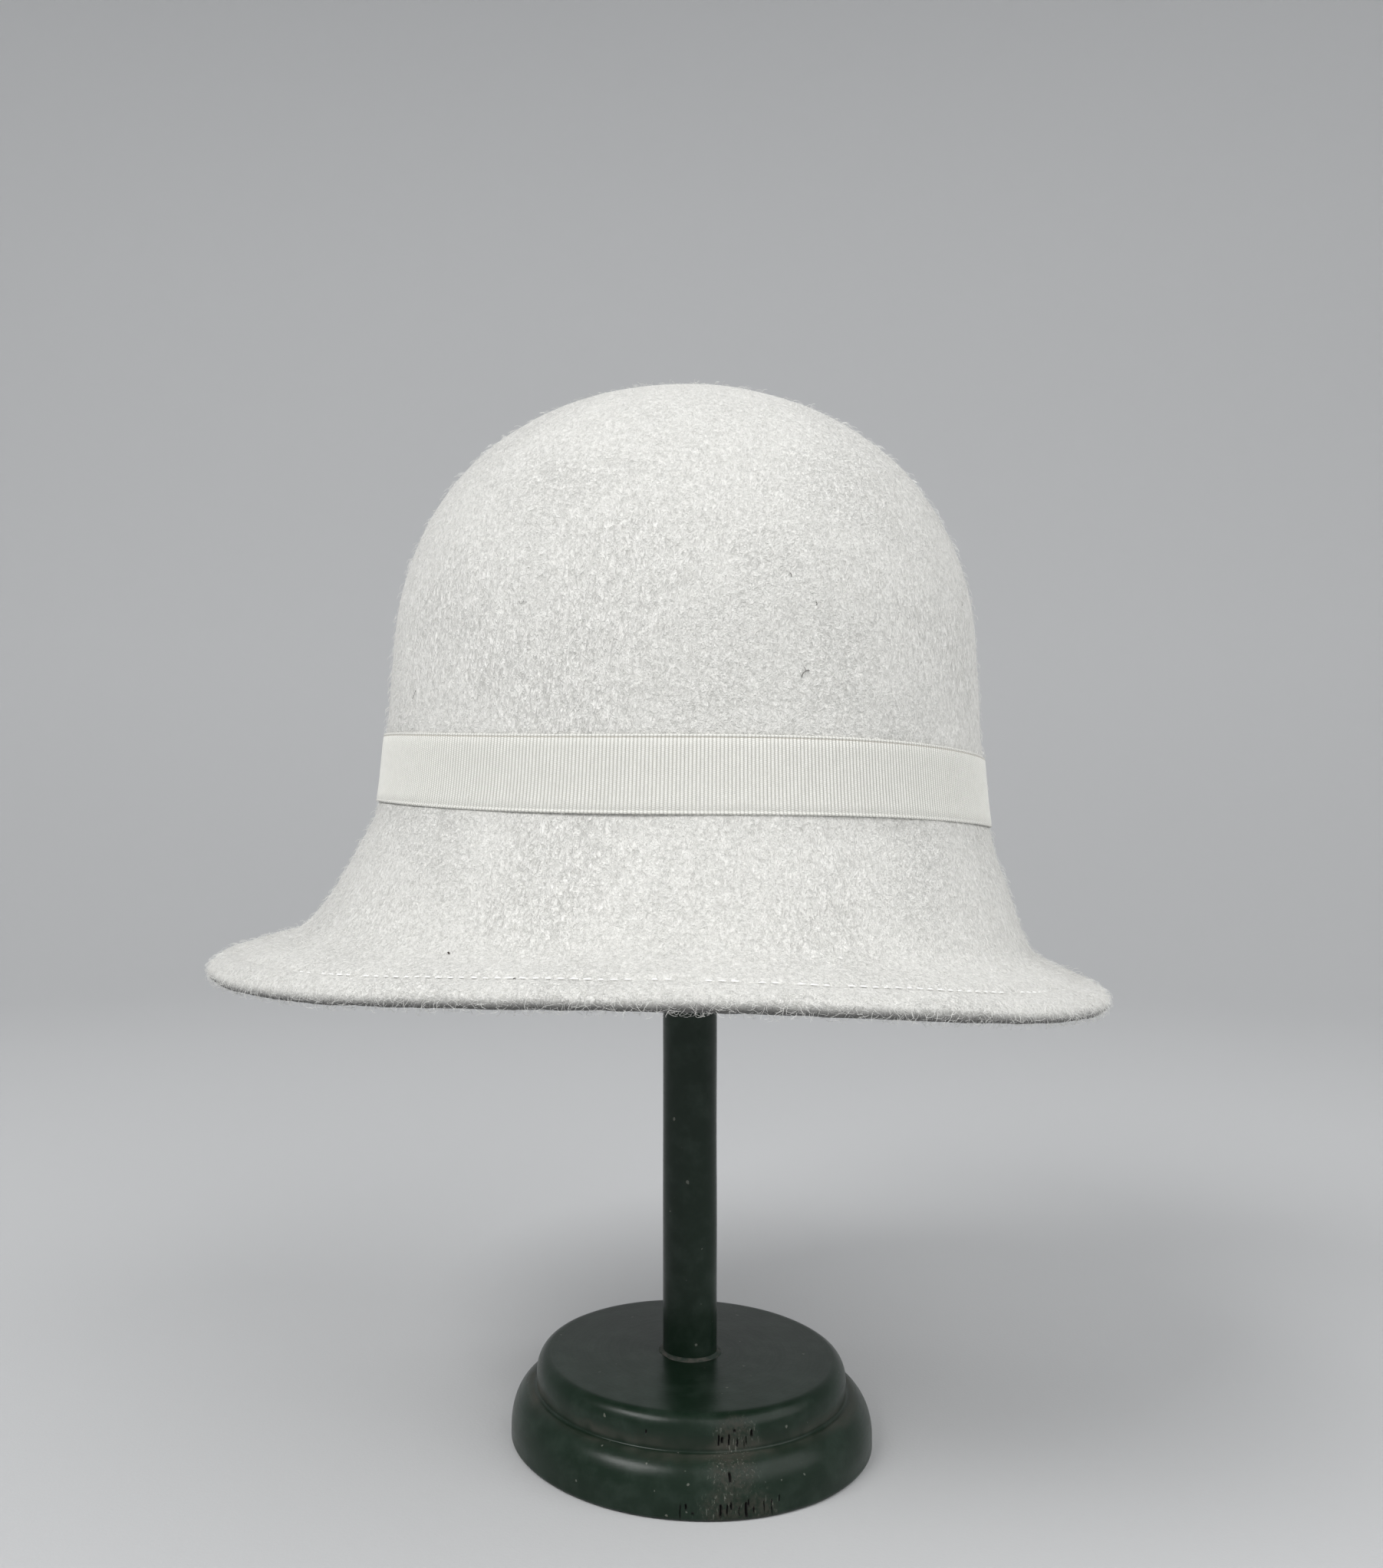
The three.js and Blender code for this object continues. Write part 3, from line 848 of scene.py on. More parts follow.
class CLOCHE_OT_ribbon_band(Operator):
    """Makes the grosgrain ribbon round the crown, with its ribs and beaded edges"""

    bl_idname = "cloche.ribbon_band"
    bl_label = "Ribbon"

    def execute(self, context):
        hood, ribbon = settings().hood, settings().ribbon

        def middle(angles):
            lines = HoodLines(hood, angles)
            height = ribbon_sway(ribbon, angles) + ribbon.width / 2
            return lines.at(lines.distance_at_height(height[:, None]))[0][:, 0]

        _, around = even_ring(middle, 8)
        ribs = round(around / ribbon.rib_pitch)
        pitch = around / ribs
        angles, _ = even_ring(middle, ribs * COLUMNS_PER_RIB)
        lines = HoodLines(hood, angles)
        edge = ribbon.selvedge * np.array([0, 0.2, 0.45, 0.75, 1.0, 1.3])
        inside = np.linspace(edge[-1], ribbon.width - edge[-1], 10)[1:-1]
        up = np.concatenate([edge, inside, (ribbon.width - edge)[::-1]])
        heights = ribbon_sway(ribbon, angles)[:, None] + up[None, ::-1]
        points, normals = lines.at(lines.distance_at_height(heights))
        walked = around * np.arange(len(angles)) / len(angles)
        lap_at = np.interp(RIBBON_LAP_ANGLE, angles, walked)
        lap = 1 - smooth_step(np.abs(walked - lap_at), ribbon.lap / 2, ribbon.lap / 2 + LAP_EDGE)
        low = ribbon.gap + ribbon.thickness - ribbon.rib_height + lap * ribbon.thickness
        outer = points + normals * low[:, None, None]
        backs = [0, len(up) // 2, len(up) - 1]
        inner = (points + normals * ribbon.gap)[:, backs[::-1]]
        columns = np.concatenate([outer, inner], 1)
        rings = place_hat(columns, hood).transpose(1, 0, 2)
        ring_count, column_count = rings.shape[:2]
        quads = ring_quads(ring_count, column_count, closed=True)
        obj = make_object("ribbon_grosgrain", rings.reshape(-1, 3), quads.tolist())
        outward = turn_vectors(np.concatenate([normals, normals[:, backs]], 1), hood).transpose(1, 0, 2)
        height_of = np.concatenate([up[::-1], up[backs]])
        give_attribute(obj, "around", np.broadcast_to(walked, rings.shape[:2]).ravel())
        give_attribute(obj, "up", np.repeat(height_of, column_count))
        give_attribute(obj, "face", np.repeat([1.0] * len(up) + [0.0] * len(backs), column_count))
        give_attribute(obj, "outward", outward, "FLOAT_VECTOR")
        self.unroll(obj, height_of, column_count, around / column_count * ribbon.rib_pitch / pitch)
        run_tree(obj, rib_tree(), {
            "Rib Pitch": pitch, "Rib Height": ribbon.rib_height, "Selvedge": ribbon.selvedge,
            "Width": ribbon.width, "Material": ribbon_material(),
        })
        finish_piece(obj, "ribbon", "ribbon_band")
        return {"FINISHED"}

    def unroll(self, obj, heights, column_count, step):
        """Lays the ribbon flat in its UV map, in metres along it and up it."""
        ring_count = len(heights)
        column = np.tile(np.arange(column_count), ring_count)
        ring = np.repeat(np.arange(ring_count), column_count)
        after = (ring + 1) % ring_count
        corners = [(ring, column), (after, column), (after, column + 1), (ring, column + 1)]
        flat = np.stack([np.stack([c * step, heights[r]], -1) for r, c in corners], 1)
        layer = obj.data.uv_layers.new(name="UVMap")
        layer.data.foreach_set("uv", flat.astype(np.float32).ravel())


# The thread's height as a share of its width, and how far it stands off the felt
FLATNESS, THREAD_RISE = 0.7, 0.42 * MM
# How deep the nap buries the hem's thread at the front and back, and over which cosines it sinks in
BURIED_DEPTH, BURIED_FROM, BURIED_TO = 0.75 * MM, 0.6, 0.86
# The lap's stitches: how far round from the ribbon's end, in radians, and how far from its two edges
LAP_INSET, LAP_MARGIN = 0.018, 1.6 * MM
STITCH_LINE_POINTS = 720


def stitch_tree():
    """Lays stitches along a line, and leaves some out where the nap hides them."""
    tree, inputs = new_tree("stitch row", {
        "Pitch": "Float", "Length": "Float", "Thickness": "Float", "Shown": "Float", "Seed": "Int",
        "Material": "Material",
    })
    curve = add(tree, "GeometryNodeMeshToCurve", {"Mesh": inputs["Geometry"]}).outputs["Curve"]
    spots = add(tree, "GeometryNodeCurveToPoints", {"Curve": curve, "Length": inputs["Pitch"]}, mode="LENGTH")
    turned = add(tree, "FunctionNodeAxesToRotation", {
        "Primary Axis": spots.outputs["Tangent"],
        "Secondary Axis": named_attribute(tree, "outward", "FLOAT_VECTOR"),
    }, primary_axis="X", secondary_axis="Z").outputs["Rotation"]
    seed = inputs["Seed"]
    rotation = turned_by(tree, turned, random_between(tree, (0.0, -0.05, -0.09), (0.0, 0.05, 0.09), seed))
    stretch = random_between(tree, (0.72, 0.85, 0.85), (1.12, 1.1, 1.1), plus(tree, seed, 1.0))
    shown = add(tree, "FunctionNodeRandomValue", {
        "Probability": inputs["Shown"], "Seed": plus(tree, seed, 2.0),
    }, data_type="BOOLEAN").outputs[3]
    stitch = add(tree, "GeometryNodeMeshUVSphere", {"Segments": 8, "Rings": 6, "Radius": 0.5}).outputs["Mesh"]
    sizes = add(tree, "ShaderNodeCombineXYZ", {
        "X": inputs["Length"], "Y": inputs["Thickness"], "Z": times(tree, inputs["Thickness"], FLATNESS),
    }).outputs[0]
    scale = vector_math(tree, "MULTIPLY", sizes, stretch).outputs[0]
    placed = add(tree, "GeometryNodeInstanceOnPoints", {
        "Points": spots.outputs["Points"], "Selection": shown, "Instance": stitch, "Rotation": rotation,
        "Scale": scale,
    }).outputs["Instances"]
    end_tree(tree, placed, inputs["Material"])
    return tree


def stitch_line(name, points, outward, closed, tree, material, pitch, shown, seed):
    """A row of stitches along points."""
    stitch = settings().stitch
    last = len(points) if closed else len(points) - 1
    edges = [(i, (i + 1) % len(points)) for i in range(last)]
    obj = make_object(name, points, edges=edges)
    give_attribute(obj, "outward", outward, "FLOAT_VECTOR")
    return run_tree(obj, tree, {
        "Pitch": pitch, "Length": stitch.length * pitch / stitch.pitch, "Thickness": stitch.thickness,
        "Shown": shown, "Seed": seed, "Material": material,
    })


class CLOCHE_OT_stitches(Operator):
    """Sews the hem round the brim, and the ribbon's end over its start"""

    bl_idname = "cloche.stitches"
    bl_label = "Stitches"

    def execute(self, context):
        hood, ribbon, stitch = settings().hood, settings().ribbon, settings().stitch
        tree, material = stitch_tree(), thread_material()
        angles = round_angles(STITCH_LINE_POINTS)
        lines = HoodLines(hood, angles)
        points, normals = hood_profile(lines, lines.total[:, None] - stitch.inset)
        buried = smooth_step(np.abs(np.cos(angles)), BURIED_FROM, BURIED_TO)
        raised = points + normals * (THREAD_RISE - BURIED_DEPTH * buried)[:, None, None]
        obj = stitch_line(
            "hem_stitches", place_hat(raised[:, 0], hood), turn_vectors(normals[:, 0], hood), True,
            tree, material, stitch.pitch, stitch.shown, SEED,
        )
        finish_piece(obj, "felt")

        end = RIBBON_LAP_ANGLE - ribbon.lap / 2 / hood.half_width
        lines = HoodLines(hood, np.array([end + LAP_INSET]))
        up = np.linspace(ribbon.width - LAP_MARGIN, LAP_MARGIN, 30)
        height = ribbon_sway(ribbon, lines.angles)[:, None] + up[None, :]
        points, normals = lines.at(lines.distance_at_height(height))
        outside = points + normals * (ribbon.gap + 2 * ribbon.thickness)
        obj = stitch_line(
            "lap_stitches", place_hat(outside[0], hood), turn_vectors(normals[0], hood), False,
            tree, material, 0.8 * stitch.pitch, 1.0, SEED + 5,
        )
        finish_piece(obj, "ribbon")
        return {"FINISHED"}


# Wool fibres of three shapes, as the ends of their two handles and their far end, in lengths of the fibre
FIBRE_SHAPES = [
    ((0.3, 0.12, 0.10), (0.7, -0.16, 0.16), (0.95, 0.06, 0.05)),
    ((0.2, -0.18, 0.22), (0.75, 0.05, 0.34), (0.85, 0.22, 0.12)),
    ((0.1, 0.1, 0.28), (0.4, -0.2, 0.42), (0.68, 0.05, 0.36)),
]
SHORTEST, LONGEST = 0.45, 1.35


def fibre_tree():
    """Scatters curled fibres over the faces that an attribute marks, brushed downwards."""
    tree, inputs = new_tree("wool fibres", {
        "Where": "String", "Density": "Float", "Length": "Float", "Thickness": "Float", "Spread": "Float",
        "Seed": "Int", "Material": "Material",
    })
    seed = inputs["Seed"]
    spots = add(tree, "GeometryNodeDistributePointsOnFaces", {
        "Mesh": inputs["Geometry"], "Seed": seed,
        "Density": times(tree, named_attribute(tree, inputs["Where"]), inputs["Density"]),
    }, distribute_method="RANDOM").outputs
    brushed = add(tree, "FunctionNodeAxesToRotation", {
        "Primary Axis": spots["Normal"], "Secondary Axis": (0.0, 0.0, -1.0),
    }, primary_axis="Z", secondary_axis="X").outputs["Rotation"]
    spread = add(tree, "ShaderNodeCombineXYZ", {"X": 0.25, "Y": 0.3, "Z": inputs["Spread"]}).outputs[0]
    against = vector_math(tree, "MULTIPLY", spread, (-1.0, -1.0, -1.0)).outputs[0]
    rotation = turned_by(tree, brushed, random_between(tree, against, spread, seed))
    slim = over(tree, over(tree, inputs["Thickness"], inputs["Length"]), 2.0)
    ring = add(tree, "GeometryNodeCurvePrimitiveCircle", {"Resolution": 3, "Radius": slim}).outputs["Curve"]
    joined = add(tree, "GeometryNodeJoinGeometry")
    for first, second, end in FIBRE_SHAPES:
        line = add(tree, "GeometryNodeCurvePrimitiveBezierSegment", {
            "Resolution": 3, "Start": (0.0, 0.0, -0.02), "Start Handle": first, "End Handle": second,
            "End": end,
        }).outputs["Curve"]
        fibre = add(tree, "GeometryNodeCurveToMesh", {
            "Curve": line, "Profile Curve": ring, "Fill Caps": True,
        })
        kept = add(tree, "GeometryNodeGeometryToInstance", {0: fibre.outputs["Mesh"]})
        tree.links.new(kept.outputs[0], joined.inputs[0])
    lengths = {2: SHORTEST, 3: LONGEST, "Seed": plus(tree, seed, 3.0)}
    length = add(tree, "FunctionNodeRandomValue", lengths, data_type="FLOAT").outputs[1]
    placed = add(tree, "GeometryNodeInstanceOnPoints", {
        "Points": spots["Points"], "Instance": joined.outputs[0], "Pick Instance": True,
        "Rotation": rotation, "Scale": times(tree, length, inputs["Length"]),
    }).outputs["Instances"]
    end_tree(tree, placed, inputs["Material"])
    return tree


def marked_area(obj, attribute):
    """The area of the faces whose corners the attribute marks, in square metres."""
    marks = np.zeros(len(obj.data.vertices), np.float32)
    obj.data.attributes[attribute].data.foreach_get("value", marks)
    return sum(face.area * marks[face.vertices[0]] for face in obj.data.polygons)


class CLOCHE_OT_nap(Operator):
    """Raises the nap on the felt and the loose fibres along the brim's edge"""

    bl_idname = "cloche.nap"
    bl_label = "Nap"

    def execute(self, context):
        nap = settings().nap
        tree, material = fibre_tree(), fibre_material()
        felt = bpy.data.objects["hood_felt"]
        rows = (
            ("crown_nap", "crown", nap.nap_count, nap.nap_length, nap.fibre, 0.9, SEED + 11),
            ("brim_nap", "brim", nap.nap_count, nap.nap_length, nap.fibre, 1.2, SEED + 12),
            ("edge_nap", "edge", nap.edge_count, nap.edge_length, nap.edge_fibre, 2.6, SEED + 13),
        )
        for name, where, number, length, thickness, spread, seed in rows:
            obj = bpy.data.objects.new(name, felt.data.copy())
            context.scene.collection.objects.link(obj)
            run_tree(obj, tree, {
                "Where": where, "Density": number / marked_area(felt, where), "Length": length,
                "Thickness": thickness, "Spread": spread, "Seed": seed, "Material": material,
            })
            finish_piece(obj, "felt")
        return {"FINISHED"}


# Specks and hairs: degrees round the hat and millimetres from its tip, then heading and bend in degrees, and
# length and thickness in millimetres
LINT = [
    (57.7, 236.1, 20, 15, 0.7, 0.5), (106.2, 149.7, 270, 95, 3.4, 0.19), (106.6, 146.8, 60, 10, 1.1, 0.15),
    (109.0, 128.8, 60, 40, 0.9, 0.2), (70.2, 248.8, 10, 10, 0.7, 0.3), (58.0, 130.7, 70, 200, 2.6, 0.09),
    (30.0, 159.1, 80, 90, 3.4, 0.10), (104.5, 120.5, 60, 30, 1.1, 0.16), (151.0, 128.0, 80, 60, 1.5, 0.12),
    (247.0, 151.0, 40, 120, 3.0, 0.10), (301.0, 96.0, 100, 80, 1.8, 0.10), (215.0, 232.0, 30, 60, 1.2, 0.16),
]


TUBE_SIDES = 4
HAIR_POINTS = 12


def add_tube(vertices, faces, points, radius):
    """Adds a tube of even thickness through points, closed at both ends by a point."""
    along = np.gradient(points, axis=0)
    along /= np.linalg.norm(along, axis=1, keepdims=True)
    aside = np.cross(along, (0.3, 0.5, 0.8))
    aside /= np.linalg.norm(aside, axis=1, keepdims=True)
    turns = round_angles(TUBE_SIDES)[None, :, None]
    rings = aside[:, None] * np.cos(turns) + np.cross(along, aside)[:, None] * np.sin(turns)
    rings = points[:, None] + radius * rings
    first = len(vertices)
    vertices += [points[0] - along[0] * radius, *rings.reshape(-1, 3), points[-1] + along[-1] * radius]
    last = len(vertices) - 1
    faces += ring_quads(len(points), TUBE_SIDES, first=first + 1)[:, ::-1].tolist()
    for side in range(TUBE_SIDES):
        beside = (side + 1) % TUBE_SIDES
        faces.append((first, first + 1 + beside, first + 1 + side))
        faces.append((last, last - TUBE_SIDES + side, last - TUBE_SIDES + beside))


class CLOCHE_OT_lint(Operator):
    """Lays a few specks and hairs on the felt"""

    bl_idname = "cloche.lint"
    bl_label = "Lint"

    def execute(self, context):
        hood = settings().hood
        lines = HoodLines(hood, np.radians([row[0] for row in LINT]))
        at = np.array([[row[1] * MM] for row in LINT])
        points, normals = hood_profile(lines, at)
        beyond, _ = hood_profile(lines, at + 0.5 * MM)
        vertices, faces = [], []
        shares = np.linspace(0, 1, HAIR_POINTS)
        for place, up, below, (_, _, heading, bend, length, thickness) in zip(
            points[:, 0], normals[:, 0], beyond[:, 0], LINT
        ):
            down = (below - place) / np.linalg.norm(below - place)
            heads = np.radians(heading + bend * shares)[:, None]
            steps = np.cos(heads) * np.cross(up, down) + np.sin(heads) * down
            steps *= length * MM / (HAIR_POINTS - 1)
            path = place + np.cumsum(steps, 0) - steps[0]
            path += up * ((0.5 * thickness + 0.25 * np.sin(np.pi * shares)) * MM)[:, None]
            add_tube(vertices, faces, path, thickness * MM / 2)
        placed = place_hat(np.array(vertices), hood)
        finish_piece(make_object("felt_lint", placed, faces, material=lint_material()), "felt")
        return {"FINISHED"}


# Stand

# Groups of splits in the end grain. Degrees round from the middle of the left side towards the back, from the
# first to the last, lowest and highest point in millimetres, and number of splits
SPLIT_GROUPS = [
    (3.5, 17.5, 17.4, 23.8, 8), (-20.0, -19.0, 20.0, 23.0, 1), (2.0, 10.0, 10.2, 13.4, 3),
    (-9.0, -3.5, 0.9, 5.6, 3), (2.5, 22.0, 0.9, 6.4, 11),
]
# Where the paint is worn: x, y, z and how far the wear reaches, in millimetres
WORN_SPOTS = [
    (9.0, -49.0, 20.0, 10.0), (8.0, -56.0, 13.0, 10.0), (5.0, -58.5, 3.0, 10.0), (15.0, -56.5, 2.0, 9.0),
]
SPLIT_SECTOR = (-22.0, 25.0)
SPLIT_END = 0.7
SPLIT_COLUMNS, PLAIN_COLUMNS = 300, 240
# The longest steps of a turned profile where it is hidden, where the base shows, and on the post and dome
HIDDEN_STEP, SHOWN_STEP, PLAIN_STEP = 4 * MM, 0.75 * MM, 3 * MM
BASE_DENTS, POST_DENTS = 0.06 * MM, 0.04 * MM
# The ring of old paint and dust round the post's foot: out from the post and up from the base, in millimetres
FILLET_SECTION = [(-0.2, 0.9), (0.2, 0.75), (0.45, 0.4), (0.8, 0.15), (1.3, 0.06), (1.3, -0.1), (-0.2, -0.1)]


def grain_splits():
    """Each split's place in degrees, lowest and highest point, width and depth in millimetres."""
    random = np.random.default_rng(SEED + 50)
    splits = []
    for start, end, low, high, number in SPLIT_GROUPS:
        for k in range(number):
            place = start + (end - start) * (k + random.uniform(0.1, 0.9)) / number
            length = (high - low) * random.choice([0.22, 0.4, 0.6, 0.9]) * random.uniform(0.85, 1.1)
            foot = low + (high - low - length) * random.uniform(0, 1)
            width, depth = random.choice([0.28, 0.5, 0.8]), random.uniform(0.9, 1.6)
            splits.append((place, foot, foot + length, width, depth))
    return splits


def quarter_round(radius, top, width, height, steps):
    """Profile points from the upright lower end of a rounded edge to its level upper end."""
    turns = np.linspace(0, np.pi / 2, steps + 1)
    return [(radius - width * (1 - math.cos(t)), top - height * (1 - math.sin(t))) for t in turns]


def refine(profile, step):
    """Adds points to the straight runs of a profile, so that none is longer than step."""
    finer = [profile[0]]
    for start, end in zip(profile, profile[1:]):
        parts = max(1, math.ceil(math.dist(start, end) / step))
        finer += [tuple(s + (e - s) * k / parts for s, e in zip(start, end)) for k in range(1, parts + 1)]
    return finer


def soften(profile, radius):
    """Rounds the corners of a profile a little."""
    soft = [profile[0]]
    for before, corner, after in zip(profile, profile[1:], profile[2:]):
        for other in (before, after):
            reach = min(radius, math.dist(corner, other) / 3)
            share_of = reach / math.dist(corner, other)
            soft.append(tuple(c + (o - c) * share_of for c, o in zip(corner, other)))
    return [*soft, profile[-1]]


def lathe(name, profile, angles, material, shape=None):
    """Turns a profile of radius and height, from its start on the axis to its end on it, round Z."""
    profile = np.array(profile)
    radius, height = profile[1:-1, 0][:, None], profile[1:-1, 1][:, None]
    radius = np.broadcast_to(radius, (len(radius), len(angles))).copy()
    height = np.broadcast_to(height, radius.shape)
    if shape is not None:
        radius = shape(radius, height, angles)
    rings = around_axis(radius, height, angles)
    return ring_surface(name, (0, 0, profile[0, 1]), rings, (0, 0, profile[-1, 1]), material)


def split_angles():
    """Close columns where the wood is split, and wide ones elsewhere."""
    low, high = (math.radians(a) for a in SPLIT_SECTOR)
    close = np.linspace(low, high, SPLIT_COLUMNS)
    wide = np.linspace(high, low + 2 * np.pi, PLAIN_COLUMNS)[1:-1]
    return np.concatenate([close, wide])


def across_split(radius, turn, height, degrees):
    """How far round the base each place is from the middle of a split, which wavers as it rises."""
    return radius * (turn - math.radians(degrees)) - 0.08 * MM * np.sin(height / (0.75 * MM) + 9 * degrees)


def base_shape(radius, height, angles):
    """Dents, uneven paint and open splits of the base's side."""
    dents = ripples(around_axis(radius, height, angles), 16 * MM, SEED + 20)
    shaped = radius + BASE_DENTS * dents * smooth_step(radius, 12 * MM, 20 * MM)
    turn = (angles[None, :] + np.pi) % (2 * np.pi) - np.pi
    for degrees, low, high, width, depth in grain_splits():
        across = across_split(radius, turn, height, degrees)
        inside = np.clip(1 - (2 * across / (width * MM)) ** 2, 0, 1)
        start = smooth_step(height, low * MM, (low + SPLIT_END) * MM)
        end = smooth_step(height, (high - SPLIT_END) * MM, high * MM)
        shaped = shaped - depth * MM * inside * start * (1 - end)
    return shaped


class CLOCHE_OT_stand_base(Operator):
    """Turns the stand's base, worn and split, and lays the fillet round the post's foot"""

    bl_idname = "cloche.stand_base"
    bl_label = "Stand Base"

    def execute(self, context):
        stand = settings().stand
        top = stand.foot_height + stand.step_height
        socket = stand.post_radius + stand.socket_gap
        floor = top - stand.socket_depth
        rounding = 0.42 * stand.step_height
        chamfer = 0.05 * stand.foot_height
        overhang = stand.foot_radius - stand.step_radius
        drop = 0.74 * stand.foot_height
        upper = quarter_round(stand.step_radius, top, rounding, 0.62 * stand.step_height, 12)[::-1]
        lower = quarter_round(stand.foot_radius, stand.foot_height, overhang, drop, 18)[::-1]
        corners = [(0, floor), (socket, floor), (socket, top), (stand.step_radius - rounding, top)]
        foot = [lower[-1], (stand.foot_radius, chamfer), (stand.foot_radius - chamfer, 0), (0, 0)]
        corners, foot = soften(corners, 0.4 * MM), soften(foot, 0.3 * MM)
        inside, under = refine(corners[:-1], HIDDEN_STEP), refine(foot[-2:], HIDDEN_STEP)
        shown = refine([corners[-2], *upper, *lower[:-1], *foot[:-1]], SHOWN_STEP)
        profile = [*inside[:-1], *shown, *under[1:]]
        obj = lathe("base_turned", profile, split_angles(), paint_material(), base_shape)
        obj.data.materials.append(split_material())
        self.darken_splits(obj)
        finish_piece(obj, "green_paint", "stand_base")
        self.fillet(top, round_angles(180))
        return {"FINISHED"}

    def darken_splits(self, obj):
        """Gives the faces inside the splits their near-black painted shadow, with the bare wood's tone in
        places.
        """
        mesh = obj.data
        middles = np.zeros(len(mesh.polygons) * 3, np.float32)
        mesh.polygons.foreach_get("center", middles)
        x, y, height = middles.reshape(-1, 3).T
        turn, radius = np.arctan2(x, -y), np.hypot(x, y)
        slots = np.zeros(len(turn), np.int32)
        for degrees, low, high, width, _ in grain_splits():
            inside = np.abs(across_split(radius, turn, height, degrees)) < 0.5 * width * MM
            inside &= (height > (low + 0.3) * MM) & (height < (high - 0.3) * MM)
            slots[inside & (radius > settings().stand.step_radius - 4 * MM)] = 1
        mesh.polygons.foreach_set("material_index", slots)

    def fillet(self, top, angles):
        """The ring of old paint and dust round the post's foot."""
        section = np.array(FILLET_SECTION) * MM
        out, up = section[:, :1], section[:, 1:]
        lumps = 1 + 0.16 * ripples(around_axis(np.ones(len(angles)), 0.0, angles), 0.6, SEED + 30)
        radius = settings().stand.post_radius + out * np.where(out > 0, lumps, 1)
        rings = around_axis(radius, top + up, angles)
        quads = ring_quads(len(section), len(angles), closed=True)
        obj = make_object("post_fillet", rings.reshape(-1, 3), quads.tolist(), material=fillet_material())
        finish_piece(obj, "green_paint")


class CLOCHE_OT_stand_post(Operator):
    """Makes the painted dowel"""

    bl_idname = "cloche.stand_post"
    bl_label = "Stand Post"

    def execute(self, context):
        stand = settings().stand
        low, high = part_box("stand_post")
        bevel = 0.6 * MM
        profile = refine(soften([
            (0, high.z), (stand.post_radius - bevel, high.z), (stand.post_radius, high.z - bevel),
            (stand.post_radius, low.z + bevel), (stand.post_radius - bevel, low.z), (0, low.z),
        ], 0.2 * MM), PLAIN_STEP)

        def shape(radius, height, angles):
            dents = ripples(around_axis(radius, height * 0.3, angles), 7 * MM, SEED + 40)
            return radius + POST_DENTS * dents

        obj = lathe("post_dowel", profile, round_angles(112), paint_material(), shape)
        finish_piece(obj, "green_paint", "stand_post")
        return {"FINISHED"}


class CLOCHE_OT_stand_dome(Operator):
    """Turns the plain dome that the crown rests on"""

    bl_idname = "cloche.stand_dome"
    bl_label = "Stand Dome"

    def execute(self, context):
        stand = settings().stand
        low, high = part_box("stand_dome")
        socket = stand.post_radius + stand.socket_gap
        sweep = math.asin(stand.dome_radius / stand.dome_curve)
        arc = [
            (stand.dome_curve * math.sin(t), high.z - stand.dome_curve * (1 - math.cos(t)))
            for t in np.linspace(0, sweep, 25)
        ]
        rest = soften([
            arc[-1], (stand.dome_radius, low.z), (socket, low.z), (socket, low.z + stand.socket_depth),
            (0, low.z + stand.socket_depth),
        ], 0.5 * MM)
        obj = lathe("dome_rest", refine([*arc[:-1], *rest], PLAIN_STEP), round_angles(144), wood_material())
        finish_piece(obj, "plain_wood", "stand_dome")
        return {"FINISHED"}


# Stage

# The photograph's camera: focal length and centre in its pixels, and its place in millimetres
FOCAL, CENTRE_X, CENTRE_Y = 1780.0, 750.0, 1060.0
EYE = (-38.4, -457.5, 206.9)
FLOOR_RADIUS, FLOOR_COLUMNS = 1.2, 96
WALL_CURVE, WALL_HEIGHT = 1.3, 2.6
AIM = (0.0, 0.0, 0.24)
# Each light's place, what it points at, its width and height in metres, and its power in watts
LIGHTS = {
    "key": ((-0.95, -0.8, 1.3), AIM, 0.95, 0.48, 18.8),
    "fill": ((0.95, -0.85, 1.1), AIM, 2.0, 1.4, 18.0),
    "front": ((-0.1, -1.35, 0.6), AIM, 1.2, 0.8, 0.7),
    "top": ((0.0, 0.1, 1.6), AIM, 1.4, 1.4, 0.5),
    "backdrop": ((0.0, 0.6, 1.5), (0.0, 2.4, 0.5), 1.6, 0.4, 7.0),
}
SKY, SKY_STRENGTH = (0.9, 0.92, 0.95, 1.0), 0.35


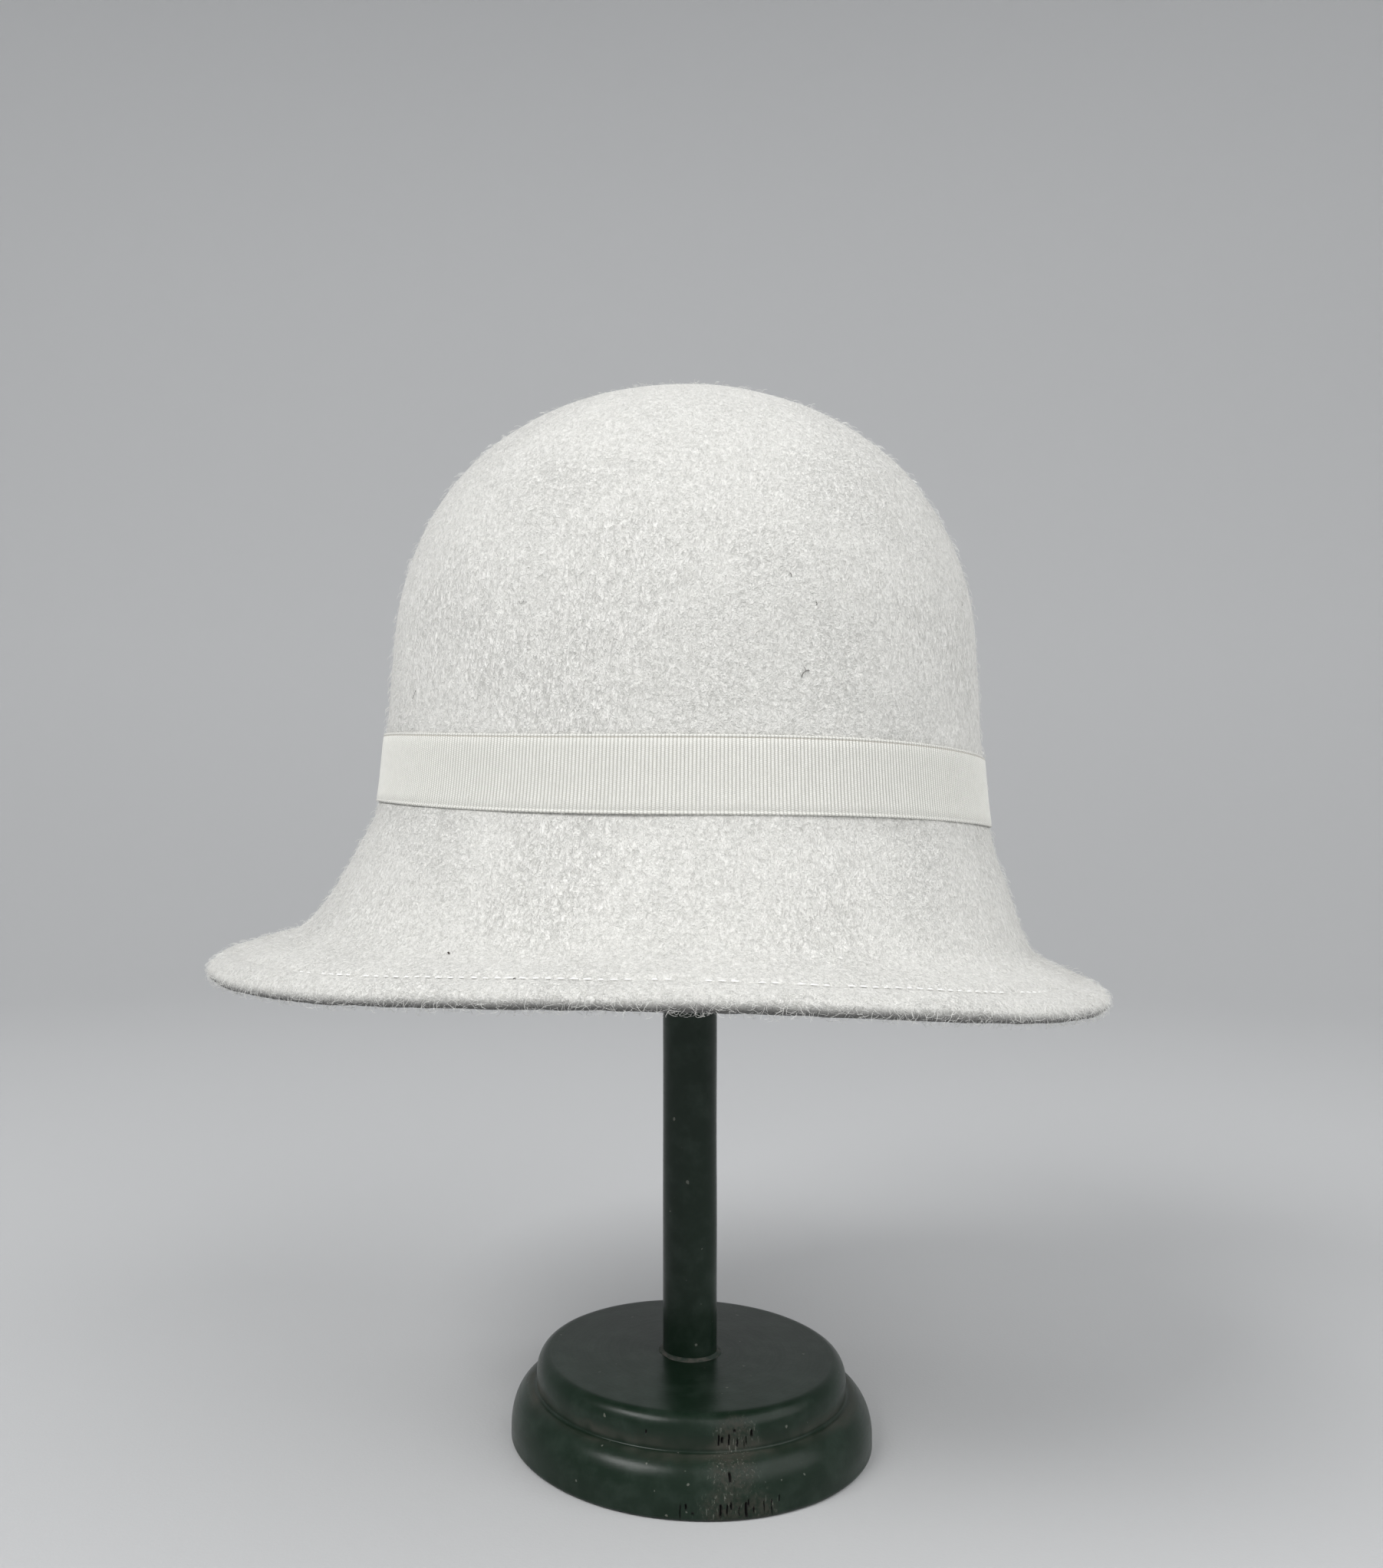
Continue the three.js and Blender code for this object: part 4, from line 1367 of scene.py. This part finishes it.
class CLOCHE_OT_stage(Operator):
    """Sets the camera, the pale floor that curves up into a backdrop, and the soft light"""

    bl_idname = "cloche.stage"
    bl_label = "Stage"

    def execute(self, context):
        self.place_camera(context.scene)
        self.lay_floor()
        for name, light in LIGHTS.items():
            self.hang_light(context.scene, name, *light)
        world = bpy.data.worlds.new("studio")
        world.use_nodes = True
        background = world.node_tree.nodes["Background"].inputs
        background["Color"].default_value = SKY
        background["Strength"].default_value = SKY_STRENGTH
        context.scene.world = world
        context.scene.view_settings.view_transform = "Standard"
        return {"FINISHED"}

    def place_camera(self, scene):
        camera = bpy.data.cameras.new("camera")
        camera.sensor_fit = "AUTO"
        camera.sensor_width = 36.0
        camera.lens = FOCAL * camera.sensor_width / PHOTO_HEIGHT
        camera.shift_x = (PHOTO_WIDTH / 2 - CENTRE_X) / PHOTO_HEIGHT
        camera.shift_y = (CENTRE_Y - PHOTO_HEIGHT / 2) / PHOTO_HEIGHT
        camera.clip_start = 0.01
        eye = bpy.data.objects.new("camera", camera)
        eye.location = Vector(EYE) * MM
        eye.rotation_euler = (math.pi / 2, 0, 0)
        scene.collection.objects.link(eye)
        scene.camera = eye

    def lay_floor(self):
        colours = settings().colours
        turns = np.linspace(0, np.pi / 2, 17)
        profile = [(FLOOR_RADIUS * k / 6, 0.0) for k in range(1, 7)]
        curve = zip(FLOOR_RADIUS + WALL_CURVE * np.sin(turns[1:]), WALL_CURVE * (1 - np.cos(turns[1:])))
        profile = np.array([*profile, *curve, (FLOOR_RADIUS + WALL_CURVE, WALL_HEIGHT)])
        radius, height = profile[:, :1], profile[:, 1:]
        angles = round_angles(FLOOR_COLUMNS)
        radius = np.broadcast_to(radius, (len(profile), FLOOR_COLUMNS))
        rings = around_axis(radius, height, angles)[:, ::-1]
        material, tree, shader = new_material("pale_floor", Roughness=0.9, Specular_IOR_Level=0.2)
        place = object_coordinates(tree)
        above = add(tree, "ShaderNodeSeparateXYZ", {0: place}).outputs["Z"]
        ground = blend(tree, ramp(tree, above, 0.0, 0.55), colours.floor, colours.backdrop)
        plug(tree, shader, ground, noise(tree, place, 900, detail=2), distance=0.2 * MM, strength=0.3)
        floor = ring_surface("floor", (0, 0, 0), rings, None, material)

    def hang_light(self, scene, name, place, target, width, height, power):
        light = bpy.data.lights.new(name, "AREA")
        light.shape = "RECTANGLE"
        light.size, light.size_y = width, height
        light.energy = power
        obj = bpy.data.objects.new(name, light)
        obj.location = place
        obj.rotation_euler = (Vector(target) - Vector(place)).to_track_quat("-Z", "Y").to_euler()
        scene.collection.objects.link(obj)


# Add-on

class CLOCHE_PT_panel(Panel):
    """Lists the settings and the pieces in the sidebar"""

    bl_label = "Cloche Hat"
    bl_idname = "CLOCHE_PT_panel"
    bl_space_type = "VIEW_3D"
    bl_region_type = "UI"
    bl_category = "Cloche"

    def draw(self, context):
        for group_name in ClocheSettings.__annotations__:
            box = self.layout.box()
            box.label(text=group_name.title())
            group = getattr(context.scene.cloche, group_name)
            for key in group.__annotations__:
                box.prop(group, key)
        for operator in OPERATORS:
            self.layout.operator(operator.bl_idname)


OPERATORS = (
    CLOCHE_OT_stage,
    CLOCHE_OT_felt_hood,
    CLOCHE_OT_ribbon_band,
    CLOCHE_OT_stitches,
    CLOCHE_OT_nap,
    CLOCHE_OT_lint,
    CLOCHE_OT_stand_base,
    CLOCHE_OT_stand_post,
    CLOCHE_OT_stand_dome,
)
GROUPS = (
    HoodSettings, RibbonSettings, StitchSettings, NapSettings, StandSettings, ColourSettings, ClocheSettings,
)
CLASSES = (*GROUPS, *OPERATORS, CLOCHE_PT_panel)


def register():
    for group in GROUPS:
        for key, setting in group.__annotations__.items():
            setting.keywords["name"] = key.replace("_", " ").title()
    for cls in CLASSES:
        bpy.utils.register_class(cls)
    bpy.types.Scene.cloche = PointerProperty(type=ClocheSettings)


def unregister():
    del bpy.types.Scene.cloche
    for cls in reversed(CLASSES):
        bpy.utils.unregister_class(cls)


def main():
    register()
    for operator in OPERATORS:
        group, name = operator.bl_idname.split(".")
        getattr(getattr(bpy.ops, group), name)()


if __name__ == "__main__":
    main()
